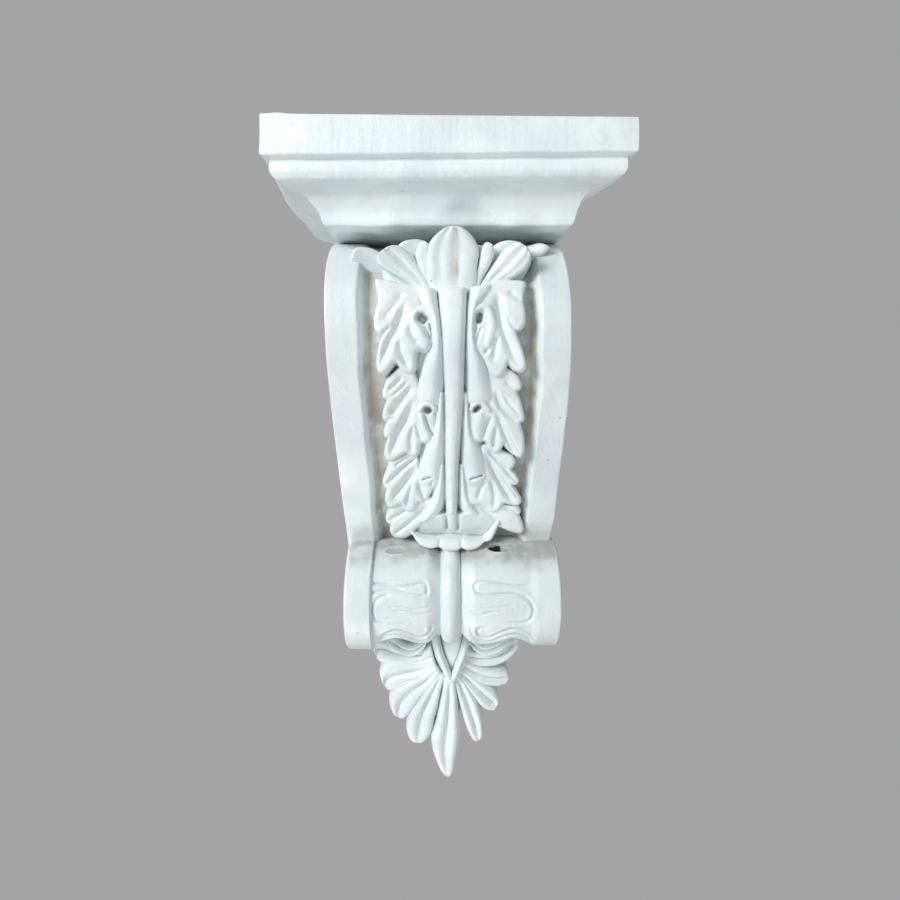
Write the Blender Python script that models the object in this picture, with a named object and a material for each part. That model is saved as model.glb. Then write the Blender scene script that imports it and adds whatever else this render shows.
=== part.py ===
"""A cast plaster corbel, made in one piece: a moulded cornice block, a console body with raised side straps
and an acanthus leaf, a tied roll across its foot, and a palmette that hangs below on the wall.

Metres. +X is to the viewer's right, -Y comes out of the wall and +Z is up. The origin is the middle of the
flat back, half way up. A depth is measured out of the wall, so a depth d lies at y = -d.
"""

import math

import bpy
import numpy as np

# Cornice block, from the top down: abacus slab, upright lip, ovolo, cavetto. The insets run on three sides.
ABACUS_WIDTH = 0.280
ABACUS_DEPTH = 0.185
ABACUS_HEIGHT = 0.028
ABACUS_ROUND = 0.0018
ABACUS_DRIP = 0.0004
LIP_INSET = 0.0067
LIP_HEIGHT = 0.007
OVOLO_RUN = 0.0133
OVOLO_DROP = 0.0095
CAVETTO_RUN = 0.020
CAVETTO_DROP = 0.0266
OVOLO_STEPS, CAVETTO_STEPS = 5, 7

# Console body: from the soffit its face curves out to its full depth, then rakes back to the roll.
BODY_SIDE_STEP = 0.001
HEAD_DEPTH = 0.071
HEAD_DROP = 0.0695
FACE_DEPTH = 0.147
FACE_RAKE = math.radians(28.1)
FACE_EASE = 0.006
CREASE_DEPTH = 0.049
STRAP_WIDTH = 0.026
STRAP_WALL = 0.0012
SUNK_DEPTH = 0.012
SIDE_PANEL_MARGIN = 0.016
SIDE_PANEL_DEPTH = 0.003

# Roll across the foot of the body, tied at its middle by an upright half-round bar. The middle line that the
# roll, the leaf, the fan and the band share lies a little to the right of the block's. The roll's own lines
# lie at fixed angles round it, from its front and up.
CENTRE_X = 0.0035
ROLL_DROP = 0.3316
ROLL_RADIUS = 0.0525
ROLL_DEPTH = 0.088
ROLL_SIDE_STEP = 0.0015
BAND_WIDTH = 0.025
BAND_STEP = 0.0025
BAND_EDGE = 0.002
BAR_HALF_WIDTH = 0.0095
BAR_SINK = 0.001
BAR_HEAD_ANGLE, BAR_FOOT_ANGLE = math.radians(75), math.radians(-62)
BAR_STEPS, BAR_ARCH_POINTS = 16, 8
THROAT_HALF_WIDTH = 0.024
THROAT_DEPTH = 0.010
THROAT_SHARES = (1.0, 0.75, 0.5, 0.3)
ROLL_ANGLES = (66, 54, 42, 30, 7.5, -12, -20, -48, -62, -80, -105, -140, 180, 140, 105, 85)
FLUTE_HEIGHTS = (0.016, -0.004, -0.029)
FLUTE_WIDTH = 0.006
FLUTE_DEPTH = 0.0025
FLUTE_MARGIN = 0.004
BOSS_RADIUS = 0.030
BOSS_HEIGHT = 0.004
BOSS_POINTS = 24

# Acanthus leaf between the straps. Its collar is the crease that the fan of leaf tips rises behind.
LEAF_HALF_WIDTH = 0.062
COLLAR_DROP = 0.047
LEAF_LENGTH = 0.232
LEAF_EDGE_WALL = 0.0012

# Fan of leaf tips, curled lip at the leaf's foot, palmette below the roll, and two sockets in the roll's top.
FAN_THICKNESS = 0.011
FAN_HEIGHT = 0.040
LIP_THICKNESS = 0.012
LIP_REACH = 0.028
PALMETTE_LENGTH = 0.1914
PALMETTE_DEPTH = 0.036
PALMETTE_TIP_DEPTH = 0.028
PALMETTE_RIM = 0.005
V_BAND_LENGTH = 0.0897
V_BAND_HALF_WIDTH = 0.0195
V_BAND_THICKNESS = 0.0038
V_BAND_RISE = 0.007
V_BAND_SHOULDER, V_BAND_BEND, V_BAND_STEPS = 0.56, 1.3, 11
TONGUE_RISE = 0.0025
TONGUE_TOP = 0.030
TONGUE_SHOULDER = 0.048
TONGUE_TIP_GAP = 0.004
SOCKET_RADIUS = 0.010
SOCKET_DEPTH = 0.009
SOCKET_SPREAD = 0.0495
SOCKET_OUT = 0.0618
SOCKET_POINTS = 14

# How far hidden ends run into their neighbours, and behind the wall plane before the back is cut flat. Each
# shape that is joined ends a stagger further back than the one before, so that no two backs share a plane,
# and the body's first row stays just off the soffit's plane for the same reason.
OVERLAP = 0.010
STAGGER = 0.0006

# Sizes that follow from those above.
CORNICE_HEIGHT = ABACUS_HEIGHT + LIP_HEIGHT + OVOLO_DROP + CAVETTO_DROP
NECK_INSET = LIP_INSET + OVOLO_RUN + CAVETTO_RUN
TOTAL_HEIGHT = CORNICE_HEIGHT + ROLL_DROP + PALMETTE_LENGTH
TOP_Z = TOTAL_HEIGHT / 2
SOFFIT_Z = TOP_Z - CORNICE_HEIGHT
ROLL_Z = SOFFIT_Z - ROLL_DROP
ROLL_AXIS_DEPTH = ROLL_DEPTH - ROLL_RADIUS
CREASE_Z = ROLL_Z + math.sqrt(ROLL_RADIUS**2 - (CREASE_DEPTH - ROLL_AXIS_DEPTH) ** 2)
BODY_HALF = ABACUS_WIDTH / 2 - NECK_INSET - BODY_SIDE_STEP
SUNK_HALF = BODY_HALF - STRAP_WIDTH
ROLL_HALF = BODY_HALF + ROLL_SIDE_STEP
COLLAR_Z = SOFFIT_Z - COLLAR_DROP

# The leaf is drawn in millimetres on a leaf 62 wide each side of its stem and 232 long: (out from the stem,
# down from the collar). A lobe has the root, bend and tip of its middle line, its half width, and the shares
# of that at its root and tip. Heights are above the strap's face.
DRAWN_HALF, DRAWN_LENGTH = 62.0, 232.0
UPPER_TIER = (
    ((28, 8), (46, 6), (57, 2), 7.0, 0.7, 0.5),
    ((34, 8), (47, 16), (54, 33), 9.0, 0.6, 0.7),
    ((36, 18), (44, 38), (55, 64), 8.0, 0.5, 0.7),
    ((34, 30), (36, 48), (36, 63), 6.5, 0.6, 0.8),
    ((28, 30), (26, 40), (21, 50), 4.8, 0.7, 0.8),
)
SECOND_TIER = (
    ((36, 76), (46, 79), (53, 88), 4.6, 0.6, 0.8),
    ((33, 76), (44, 86), (54, 104), 5.6, 0.6, 0.8),
    ((34, 86), (45, 102), (55, 120), 5.6, 0.5, 0.8),
    ((33, 98), (43, 118), (55, 139), 6.6, 0.5, 0.7),
    ((33, 108), (37, 124), (41, 134), 5.6, 0.6, 0.8),
    ((30, 112), (30, 126), (30, 136), 4.8, 0.7, 0.8),
    ((27, 106), (26, 118), (21, 126), 4.6, 0.7, 0.8),
)
THIRD_TIER = (
    ((34, 142), (44, 145), (52, 149), 3.6, 0.7, 0.8),
    ((32, 146), (44, 152), (54, 161), 4.6, 0.6, 0.8),
    ((30, 150), (46, 158), (58, 172), 4.8, 0.5, 0.7),
    ((31, 158), (44, 174), (55, 189), 6.2, 0.5, 0.8),
    ((33, 172), (37, 184), (41, 191), 5.2, 0.6, 0.8),
    ((30, 174), (31, 188), (31, 194), 4.6, 0.7, 0.8),
    ((26, 170), (25, 180), (22, 185), 4.2, 0.7, 0.8),
)
FOOT_TIER = (
    ((24, 192), (42, 198), (56, 208), 5.8, 0.6, 0.7),
    ((18, 194), (34, 208), (49, 222), 7.6, 0.6, 0.8),
)
LOBES = UPPER_TIER + SECOND_TIER + THIRD_TIER + FOOT_TIER
LOBE_ROOT_RISE, LOBE_TIP_RISE, LOBE_CROWN, LOBE_SIDE_SLOPE, LOBE_FULL_AT = 1.0, 8.0, 4.5, 1.6, 0.6
PIPES = (
    ((19, -2), (22, 12), (31, 36), 9.5, 0.9, 0.6),
    ((14, 6), (12, 55), (20, 98), 7.5, 0.5, 0.9),
    ((11, 92), (12, 130), (20, 160), 7.0, 0.5, 0.9),
    ((10, 158), (11, 182), (21, 200), 6.5, 0.6, 0.9),
)
PIPE_RISE, PIPE_CROWN, PIPE_TIP_FALL, PIPE_TIP_FROM = 8.0, 5.0, 3.0, 0.7
BLADE_HALF, BLADE_RISE = 40.0, -5.0
EYES = ((24, 27, 3.8), (22, 103, 3.6), (21, 167, 3.2))
EYE_DEPTH, EYE_RIM, EYE_FLOOR = 8.0, 1.0, 1.5
STEM_DROPS, STEM_HALVES = (0, 50, 110, 180, 232), (10.5, 8.6, 6.6, 5.6, 5.0)
STEM_RISE, STEM_CROWN, GROOVE_HALF, GROOVE_DEPTH = 9.0, 2.0, 1.5, 8.0
FOOT_FROM, FOOT_TO, FOOT_HALF, FOOT_FULL_HALF, FOOT_HOLLOW = 202.0, 224.0, 40.0, 24.0, 7.0
HEAD_FADE_FROM, HEAD_FADE, FOOT_FADE_FROM, FOOT_FADE_TO, FADE_FALL = 2.0, 12.0, 4.0, 3.0, 30.0

# Columns of the leaf's faces: shares of the stem's half width, then from its groove to a fixed line, in drawn
# millimetres, then on to the edge. ROW_STEP is the spacing of its rows.
STEM_COLUMNS = (0.0, 0.6, 1.0)
BLADE_COLUMNS, BLADE_LINE = 7, 34.0
EDGE_COLUMNS = 6
ROW_STEP = 0.0045
HEAD_ROWS = 8
LOOK_PAST, LOOK_POINTS = 4.0, 140
PANEL_ROWS = 22

# Fan over the collar, drawn in millimetres on a fan 40 high: sideways, depth less the collar's and height
# above the collar of each tip's root, bend and tip, then its half width and the share of that at its root.
FAN_DRAWN = 40.0
FAN_DEPTH = 0.132
FAN_TIPS = (
    ((0, 0, -6), (0, 14, 20), (0, 28, 40), 21.5, 0.60),
    ((12, 0.5, -3), (21, 13.5, 14), (28, 24, 36), 7.2, 0.65),
    ((14, -2, -4), (36, 12, 10), (56, 21, 30), 12.5, 0.55),
    ((40, -14, 8), (58, -3, 20), (78, 1, 31), 7.5, 0.70),
)
# Curled lip, drawn on a lip that reaches 28 out: the same, from the crease.
LIP_DRAWN = 28.0
LIP_TIPS = (
    ((0, 0, 18), (0, 20, 10), (0, 28, -8), 10.0, 0.90),
    ((12, 0, 18), (19, 18, 10), (18, 26, -4), 12.0, 0.90),
)
# Palmette, drawn on one 191.4 long: sideways and below the roll's axis of each petal's root, bend and tip,
# then its half width and the share of that at its root.
PALMETTE_DRAWN = 191.4
PETALS = (
    ((0, 87.4), (0, 137.4), (0, 191.4), 13.5, 0.30),
    ((4, 85.4), (16, 125.4), (34, 151.4), 11.5, 0.35),
    ((6, 81.4), (30, 109.4), (52, 124.4), 11.5, 0.35),
    ((8, 75.4), (36, 89.4), (62, 94.4), 11.0, 0.40),
    ((12, 65.4), (44, 75.4), (71, 63.4), 10.0, 0.45),
    ((16, 49.4), (36, 61.4), (56, 47.4), 10.0, 0.60),
)

# Shapes that are carried along: a free tip's ring as across and out, where it starts to round off and over
# how much of its length, a petal's and the band's cross sections, and the shares at which their rings stand.
TIP_RING = ((-1, 0), (-0.9, -0.5), (0, -0.7), (0.9, -0.5), (1, 0), (0.55, 0.62), (0, 0.3), (-0.55, 0.62))
TIP_SHARES = (0.0, 0.2, 0.4, 0.6, 0.78, 0.92, 1.0)
TIP_ROUND_FROM, TIP_ROUND_RUN = 0.55, 0.47
PETAL_SHARES = (0.0, 0.2, 0.4, 0.6, 0.76, 0.9, 1.0)
PETAL_ROUND_FROM, PETAL_BLUNT, PETAL_RIM_AT, PETAL_GROOVE, PETAL_TIP_RIM = 0.6, 1.02, 0.55, 0.55, 0.2
BAND_FOOT, BAND_FLAT, BAND_CHAMFER = 1.3, 0.5, 0.6


def smooth(edge_from, edge_to, value):
    """0 before edge_from, 1 after edge_to, and an S curve between them."""
    share = np.clip((value - edge_from) / (edge_to - edge_from), 0.0, 1.0)
    return share * share * (3.0 - 2.0 * share)


def bezier(root, bend, tip, share):
    """Points on a quadratic curve, one row for each share from 0 at the root to 1 at the tip."""
    t = np.asarray(share, float)[:, None]
    return (1 - t) ** 2 * np.array(root, float) + 2 * t * (1 - t) * np.array(bend) + t**2 * np.array(tip)


def face_depth(z):
    """Depth of the strap's face at a height: a quarter ellipse below the soffit, and the raking line, eased
    into each other where they meet."""
    above = np.clip((z - (SOFFIT_Z - HEAD_DROP)) / HEAD_DROP, 0.0, 1.0)
    head = HEAD_DEPTH + (FACE_DEPTH - HEAD_DEPTH) * np.sqrt(1.0 - above**2)
    rake = CREASE_DEPTH + math.tan(FACE_RAKE) * (z - CREASE_Z)
    return -FACE_EASE * np.logaddexp(-head / FACE_EASE, -rake / FACE_EASE)


def nearest_on(root, bend, tip, across, down):
    """How far each point lies from a curve in the leaf's plane, and at which share of the curve."""
    line = bezier(root, bend, tip, np.linspace(0.0, 1.0, 25))
    best = np.full(np.shape(across), np.inf)
    share = np.zeros(np.shape(across))
    for k, ((x0, v0), (x1, v1)) in enumerate(zip(line[:-1], line[1:])):
        dx, dv = x1 - x0, v1 - v0
        f = np.clip(((across - x0) * dx + (down - v0) * dv) / (dx * dx + dv * dv), 0.0, 1.0)
        gap = np.hypot(across - x0 - f * dx, down - v0 - f * dv)
        closer = gap < best
        best = np.where(closer, gap, best)
        share = np.where(closer, (k + f) / (len(line) - 1), share)
    return best, share


def lobe_height(lobe, across, down):
    """One lobe of the leaf: crowned across its width, lifting towards its tip, and steeper past its edge."""
    root, bend, tip, half, root_share, tip_share = lobe
    gap, share = nearest_on(root, bend, tip, across, down)
    width = half * (root_share + (1 - root_share) * smooth(0.0, LOBE_FULL_AT, share))
    width -= half * (1 - tip_share) * smooth(LOBE_FULL_AT, 1.0, share)
    height = LOBE_ROOT_RISE + (LOBE_TIP_RISE - LOBE_ROOT_RISE) * share
    return height - LOBE_CROWN * (gap / width) ** 2 - LOBE_SIDE_SLOPE * np.clip(gap - width, 0.0, None)


def stem_half(down):
    """Half the stem's width at each drawn row."""
    return np.interp(down, STEM_DROPS, STEM_HALVES)


def leaf_height(across, down):
    """The leaf's height over the strap's face, all in drawn millimetres: the highest of its blade, its lobes,
    the pipes that run down beside the stem, and the stem, less the drilled eyes and the hollow of its foot."""
    across = np.abs(across)
    height = BLADE_RISE - LOBE_SIDE_SLOPE * np.clip(across - BLADE_HALF, 0.0, None)
    for lobe in LOBES:
        height = np.maximum(height, lobe_height(lobe, across, down))
    for root, bend, tip, half, root_share, tip_share in PIPES:
        gap, share = nearest_on(root, bend, tip, across, down)
        width = half * (root_share + (tip_share - root_share) * share)
        end_fall = PIPE_TIP_FALL * smooth(PIPE_TIP_FROM, 1.0, share)
        height = np.maximum(height, PIPE_RISE - PIPE_CROWN * (gap / width) ** 2 - end_fall)
    for eye_across, eye_down, radius in EYES:
        gap = np.hypot(across - eye_across, down - eye_down)
        height = height - EYE_DEPTH * smooth(radius + EYE_RIM, radius - EYE_FLOOR, gap)
    stem = stem_half(down)
    groove = smooth(2.0 * GROOVE_HALF, 0.0, np.abs(across - stem - GROOVE_HALF))
    height = np.where(groove > 0, height + (STEM_RISE - GROOVE_DEPTH - height) * groove, height)
    height = np.where(across < stem, STEM_RISE - STEM_CROWN * (across / stem) ** 2, height)
    hollow = smooth(FOOT_FROM, FOOT_TO, down) * smooth(FOOT_HALF, FOOT_FULL_HALF, across)
    height = height - FOOT_HOLLOW * hollow
    fade = smooth(HEAD_FADE_FROM, -HEAD_FADE, down)
    fade = fade + smooth(DRAWN_LENGTH - FOOT_FADE_FROM, DRAWN_LENGTH + FOOT_FADE_TO, down)
    return height - FADE_FALL * fade


def leaf_edge(down):
    """How far out the leaf reaches at each drawn row, from a fine look outwards along it."""
    look = np.linspace(BLADE_HALF, DRAWN_HALF + LOOK_PAST, LOOK_POINTS)
    rows = leaf_height(look[None, :], np.asarray(down)[:, None])
    above = rows > -0.5 * SUNK_DEPTH * DRAWN_HALF / LEAF_HALF_WIDTH
    last = np.where(above.any(axis=1), look.size - 1 - np.argmax(above[:, ::-1], axis=1), 0)
    return look[last]


def volume_of(points, faces):
    """The volume inside a closed skin, below zero where its faces point inwards."""
    total = 0.0
    for face in faces:
        corners = points[list(face)]
        total += np.cross(corners[1:-1] - corners[0], corners[2:] - corners[0]).sum(axis=0) @ corners.mean(axis=0)
    return total


def hidden(name, points, faces):
    """A closed mesh, outside out, that a Boolean joins or cuts with, and that isn't a part itself."""
    points = np.asarray(points, float)
    if volume_of(points, faces) < 0:
        faces = [face[::-1] for face in faces]
    mesh = bpy.data.meshes.new(name)
    mesh.from_pydata([tuple(map(float, p)) for p in points], [], faces)
    mesh.update()
    made = bpy.data.objects.new(name, mesh)
    made.hide_render = True
    made.display_type = "WIRE"
    bpy.context.collection.objects.link(made)
    return made


def skin(rings):
    """Points and faces of a closed skin through rings of equally many points, capped at both ends."""
    count = len(rings[0])
    faces = [tuple(range(count - 1, -1, -1))]
    for k in range(len(rings) - 1):
        for i in range(count):
            j = (i + 1) % count
            faces.append((k * count + i, k * count + j, (k + 1) * count + j, (k + 1) * count + i))
    last = (len(rings) - 1) * count
    faces.append(tuple(range(last, last + count)))
    return np.concatenate(rings), faces


def quarter(start, end, steps, bulges_down):
    """Points after start on a quarter ellipse to end: it leaves start upright or level."""
    angles = np.linspace(0.0, math.pi / 2, steps + 1)[1:]
    run, drop = end[0] - start[0], end[1] - start[1]
    if bulges_down:
        return [(start[0] + run * (1 - math.cos(a)), start[1] + drop * math.sin(a)) for a in angles]
    return [(start[0] + run * math.sin(a), start[1] + drop * (1 - math.cos(a))) for a in angles]


def cornice():
    """The cornice block: one rectangle for each point of its moulding, smaller by the point's inset."""
    lip_top = (LIP_INSET, ABACUS_HEIGHT - ABACUS_DRIP)
    lip_foot = (LIP_INSET, ABACUS_HEIGHT + LIP_HEIGHT)
    ovolo_foot = (LIP_INSET + OVOLO_RUN, lip_foot[1] + OVOLO_DROP)
    neck = (NECK_INSET, CORNICE_HEIGHT)
    moulding = [(ABACUS_ROUND, 0.0), (0.0, ABACUS_ROUND), (0.0, ABACUS_HEIGHT - ABACUS_ROUND)]
    moulding += [(ABACUS_ROUND, ABACUS_HEIGHT), lip_top, lip_foot]
    moulding += quarter(lip_foot, ovolo_foot, OVOLO_STEPS, True)
    moulding += quarter(ovolo_foot, neck, CAVETTO_STEPS, False)
    rings = []
    back = OVERLAP + STAGGER
    for inset, drop in reversed(moulding):
        half, front, z = ABACUS_WIDTH / 2 - inset, inset - ABACUS_DEPTH, TOP_Z - drop
        rings.append(np.array([(-half, front, z), (half, front, z), (half, back, z), (-half, back, z)]))
    return hidden("cornice", *skin(rings))


def console_body():
    """The console body with its straps, sunk ground and leaf: a sheet of faces over its front, by height and
    across, closed by flat sides, head, foot and back."""
    scale_x, scale_z = LEAF_HALF_WIDTH / DRAWN_HALF, LEAF_LENGTH / DRAWN_LENGTH
    angles = np.linspace(0.0, 0.5 * math.pi, HEAD_ROWS)
    head = SOFFIT_Z - HEAD_DROP + HEAD_DROP * np.cos(angles)
    head[0] += STAGGER
    head = head[head > COLLAR_Z + ROW_STEP]
    foot = ROLL_Z
    below = np.linspace(COLLAR_Z + 0.5 * ROW_STEP, CREASE_Z, round((COLLAR_Z - CREASE_Z) / ROW_STEP) + 1)
    heights = np.concatenate([[SOFFIT_Z + OVERLAP], head, below, [foot]])
    down = (COLLAR_Z - heights) / scale_z
    edge = leaf_edge(down)
    stem = stem_half(down)[:, None]
    groove = stem + GROOVE_HALF
    blade = groove + GROOVE_HALF + (BLADE_LINE - groove - GROOVE_HALF) * np.linspace(0.0, 1.0, BLADE_COLUMNS)
    outer = BLADE_LINE + (edge[:, None] - BLADE_LINE) * np.linspace(0.0, 1.0, EDGE_COLUMNS + 1)[1:]
    half = np.concatenate([stem * np.array(STEM_COLUMNS), groove, blade, outer], axis=1)
    across = np.concatenate([-half[:, :0:-1], half], axis=1)
    leaf_x = CENTRE_X + across * scale_x
    relief = np.maximum(leaf_height(across, down[:, None]) * scale_x, -SUNK_DEPTH)

    def column(x, rise):
        return np.full((len(heights), 1), x) if np.isscalar(x) else x[:, None], np.full((len(heights), 1), rise)

    left_foot = leaf_x[:, 0] - LEAF_EDGE_WALL
    right_foot = leaf_x[:, -1] + LEAF_EDGE_WALL
    sides = [column(-BODY_HALF, 0.0), column(-SUNK_HALF, 0.0), column(-SUNK_HALF + STRAP_WALL, -SUNK_DEPTH)]
    sides += [column(left_foot, -SUNK_DEPTH), (leaf_x, relief), column(right_foot, -SUNK_DEPTH)]
    sides += [column(SUNK_HALF - STRAP_WALL, -SUNK_DEPTH), column(SUNK_HALF, 0.0), column(BODY_HALF, 0.0)]
    x = np.concatenate([c[0] for c in sides], axis=1)
    rise = np.concatenate([c[1] for c in sides], axis=1)
    depth = face_depth(np.minimum(heights, SOFFIT_Z))[:, None] + rise
    depth[-1, :] = depth[-1, :].min()
    z = np.repeat(heights[:, None], x.shape[1], axis=1)
    rows, columns = x.shape
    front = np.stack([x, -depth, z], axis=-1).reshape(-1, 3)
    back = [(-BODY_HALF, OVERLAP, heights[0]), (BODY_HALF, OVERLAP, heights[0])]
    back += [(-BODY_HALF, OVERLAP, heights[-1]), (BODY_HALF, OVERLAP, heights[-1])]
    corner = rows * columns
    faces = []
    for r in range(rows - 1):
        for c in range(columns - 1):
            at = r * columns + c
            faces.append((at, at + columns, at + columns + 1, at + 1))
    first, last = list(range(columns)), list(range((rows - 1) * columns, rows * columns))
    faces.append((*first, corner + 1, corner))
    faces.append((*reversed(last), corner + 2, corner + 3))
    faces.append((*[r * columns for r in reversed(range(rows))], corner, corner + 2))
    faces.append((*[r * columns + columns - 1 for r in range(rows)], corner + 3, corner + 1))
    faces.append((corner, corner + 1, corner + 3, corner + 2))
    return hidden("console_body", np.concatenate([front, back]), faces)


def side_panel(side):
    """Cutter for the shallow sunk panel on one flank, whose outline keeps a margin inside the body's."""
    top, foot = SOFFIT_Z - SIDE_PANEL_MARGIN, CREASE_Z + SIDE_PANEL_MARGIN
    heights = np.linspace(foot, top, PANEL_ROWS)
    line = [(face_depth(z) - SIDE_PANEL_MARGIN - SUNK_DEPTH, z) for z in heights]
    outline = [(SIDE_PANEL_MARGIN, foot), *line, (SIDE_PANEL_MARGIN, top)]
    near, far = side * (BODY_HALF - SIDE_PANEL_DEPTH), side * (BODY_HALF + OVERLAP)
    rings = [np.array([(x, -d, z) for d, z in outline]) for x in sorted((near, far))]
    return hidden("side_panel", *skin(rings))


def roll_radius(x):
    """The roll's radius along its length: plain end bands, a small step in, and a rounded throat beside the
    half-round bar that ties its middle."""
    out = np.abs(x)
    throat = THROAT_DEPTH * (1 - np.sqrt(1 - np.clip(1 - out / THROAT_HALF_WIDTH, 0.0, 1.0) ** 2))
    band = ROLL_HALF - BAND_WIDTH
    radius = ROLL_RADIUS - BAND_STEP * smooth(band, band - BAND_EDGE, out)
    return radius - throat


def roll():
    """The roll as rings of points about a level axis. Between its throat and its end bands it is fluted along
    its length. Places are measured from its own middle."""
    flute_from, flute_to = THROAT_HALF_WIDTH, ROLL_HALF - BAND_WIDTH - BAND_EDGE
    places = [ROLL_HALF, ROLL_HALF - BAND_WIDTH, flute_to, flute_to - FLUTE_MARGIN]
    places += [flute_from + FLUTE_MARGIN, *(flute_from * share for share in THROAT_SHARES)]
    places = [-x for x in places] + places[::-1]
    middles = [math.asin(height / ROLL_RADIUS) for height in FLUTE_HEIGHTS]
    edge = 0.5 * FLUTE_WIDTH / ROLL_RADIUS
    plain = [math.radians(a) for a in ROLL_ANGLES]
    turned = sorted(plain + [middle + side * edge for middle in middles for side in (-1, 0, 1)])
    angles = np.array(turned)
    fluted = np.isclose(angles[:, None], middles).any(axis=1)
    rings = []
    for x in places:
        radius = roll_radius(x) - FLUTE_DEPTH * fluted * (flute_from < abs(x) < flute_to)
        y, z = -ROLL_AXIS_DEPTH - radius * np.cos(angles), ROLL_Z + radius * np.sin(angles)
        rings.append(np.stack([np.full_like(y, CENTRE_X + x), y, z], axis=1))
    return hidden("roll", *skin(rings))


def disc(name, x_from, x_to, radius):
    """A disc on the roll's axis, between two places measured from the roll's middle."""
    angles = np.linspace(0.0, 2 * math.pi, BOSS_POINTS, endpoint=False)
    y, z = -ROLL_AXIS_DEPTH - radius * np.cos(angles), ROLL_Z + radius * np.sin(angles)
    rings = [np.stack([np.full_like(y, CENTRE_X + x), y, z], axis=1) for x in sorted((x_from, x_to))]
    return hidden(name, *skin(rings))


def tie_bar():
    """The half-round bar that ties the roll: an arch carried round the roll's front, from the crease under
    the leaf to the head of the palmette."""
    turn = np.linspace(BAR_HEAD_ANGLE, BAR_FOOT_ANGLE, BAR_STEPS)
    arch = np.linspace(0.0, math.pi, BAR_ARCH_POINTS)
    rings = []
    for angle in turn:
        lift = BAR_HALF_WIDTH * np.sin(arch)
        radius = np.concatenate([ROLL_RADIUS - BAR_SINK - BAR_HALF_WIDTH + lift, [ROLL_RADIUS / 2] * 2])
        across = CENTRE_X + np.concatenate([-BAR_HALF_WIDTH * np.cos(arch), [BAR_HALF_WIDTH, -BAR_HALF_WIDTH]])
        y, z = -ROLL_AXIS_DEPTH - radius * math.cos(angle), ROLL_Z + radius * math.sin(angle)
        rings.append(np.stack([across, y, z], axis=1))
    return hidden("tie_bar", *skin(rings))


def leaf_tip(name, line, half, root_share, thickness):
    """One free leaf tip: a leaf-shaped ring carried along its middle line, with a groove down its front and a
    rounded tip. The line holds its root, bend and tip as points (x, y, z)."""
    shares = np.array(TIP_SHARES)
    middle = bezier(*line, shares)
    ahead = bezier(*line, np.minimum(shares + 0.01, 1.01)) - bezier(*line, shares - 0.01)
    ahead /= np.linalg.norm(ahead, axis=1)[:, None]
    wide = root_share + (1 - root_share) * smooth(0.0, TIP_ROUND_FROM, shares)
    rounding = np.clip((shares - TIP_ROUND_FROM) / TIP_ROUND_RUN, 0.0, 1.0)
    wide = wide * np.sqrt(1.0 - rounding**2)
    ring = np.array(TIP_RING)
    rings = []
    for point, way, width in zip(middle, ahead, wide):
        across = np.cross(way, (0.0, -1.0, 0.0))
        across /= np.linalg.norm(across)
        out = np.cross(across, way)
        rings.append(point + half * width * ring[:, :1] * across + thickness * width**0.5 * ring[:, 1:] * out)
    return hidden(name, *skin(rings))


def palmette_petal(side, petal, back):
    """One petal on the wall: raised rims and a groove on its front, a thin edge, and a back behind the wall."""
    scale = PALMETTE_LENGTH / PALMETTE_DRAWN
    root, bend, tip = (np.array(point) * scale for point in petal[:3])
    half, root_share = petal[3] * scale, petal[4]
    shares = np.array(PETAL_SHARES)
    line = bezier(root, bend, tip, shares)
    ahead = bezier(root, bend, tip, shares + 0.01) - bezier(root, bend, tip, shares - 0.01)
    ahead /= np.linalg.norm(ahead, axis=1)[:, None]
    wide = root_share + (1 - root_share) * smooth(0.0, PETAL_ROUND_FROM, shares)
    rounding = np.clip((shares - PETAL_ROUND_FROM) / (1.0 - PETAL_ROUND_FROM), 0.0, 1.0)
    wide = half * wide * np.sqrt(np.clip(PETAL_BLUNT - rounding**2, 0.0, 1.0))
    rings = []
    for (x, v), (dx, dv), width, share in zip(line, ahead, wide, shares):
        depth = PALMETTE_DEPTH + (PALMETTE_TIP_DEPTH - PALMETTE_DEPTH) * share
        rim = PALMETTE_RIM * min(1.0, width / half + PETAL_TIP_RIM)
        groove = depth - PETAL_GROOVE * rim
        section = [(-1.0, -back), (-1.0, depth - rim), (-PETAL_RIM_AT, depth), (0.0, groove)]
        section += [(PETAL_RIM_AT, depth), (1.0, depth - rim), (1.0, -back)]
        rings.append([(side * (x - w * width * dv), -d, ROLL_Z - v - w * width * dx) for w, d in section])
    return hidden("petal", *skin([np.array(ring) for ring in rings]))


def v_band():
    """The raised band that runs down one side of the palmette's head, round its point and up the other."""
    turn = np.linspace(-1.0, 1.0, V_BAND_STEPS)
    x = CENTRE_X + V_BAND_HALF_WIDTH * np.sin(turn * math.pi / 2)
    z = ROLL_Z - V_BAND_LENGTH * (1.0 - V_BAND_SHOULDER * np.abs(turn) ** V_BAND_BEND)
    middle = np.stack([x, z], axis=1)
    way = np.gradient(middle, axis=0)
    way /= np.linalg.norm(way, axis=1)[:, None]
    front = PALMETTE_DEPTH + V_BAND_RISE
    flank = front - BAND_CHAMFER * V_BAND_RISE
    back = OVERLAP + 2 * STAGGER
    section = [(-BAND_FOOT, -back), (-1.0, flank), (-BAND_FLAT, front)]
    section += [(BAND_FLAT, front), (1.0, flank), (BAND_FOOT, -back)]
    offsets = [(w * V_BAND_THICKNESS, d) for w, d in section]
    rings = []
    for (px, pz), (wx, wz) in zip(middle, way):
        rings.append(np.array([(px - w * wz, -d, pz + w * wx) for w, d in offsets]))
    return hidden("v_band", *skin(rings))


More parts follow.
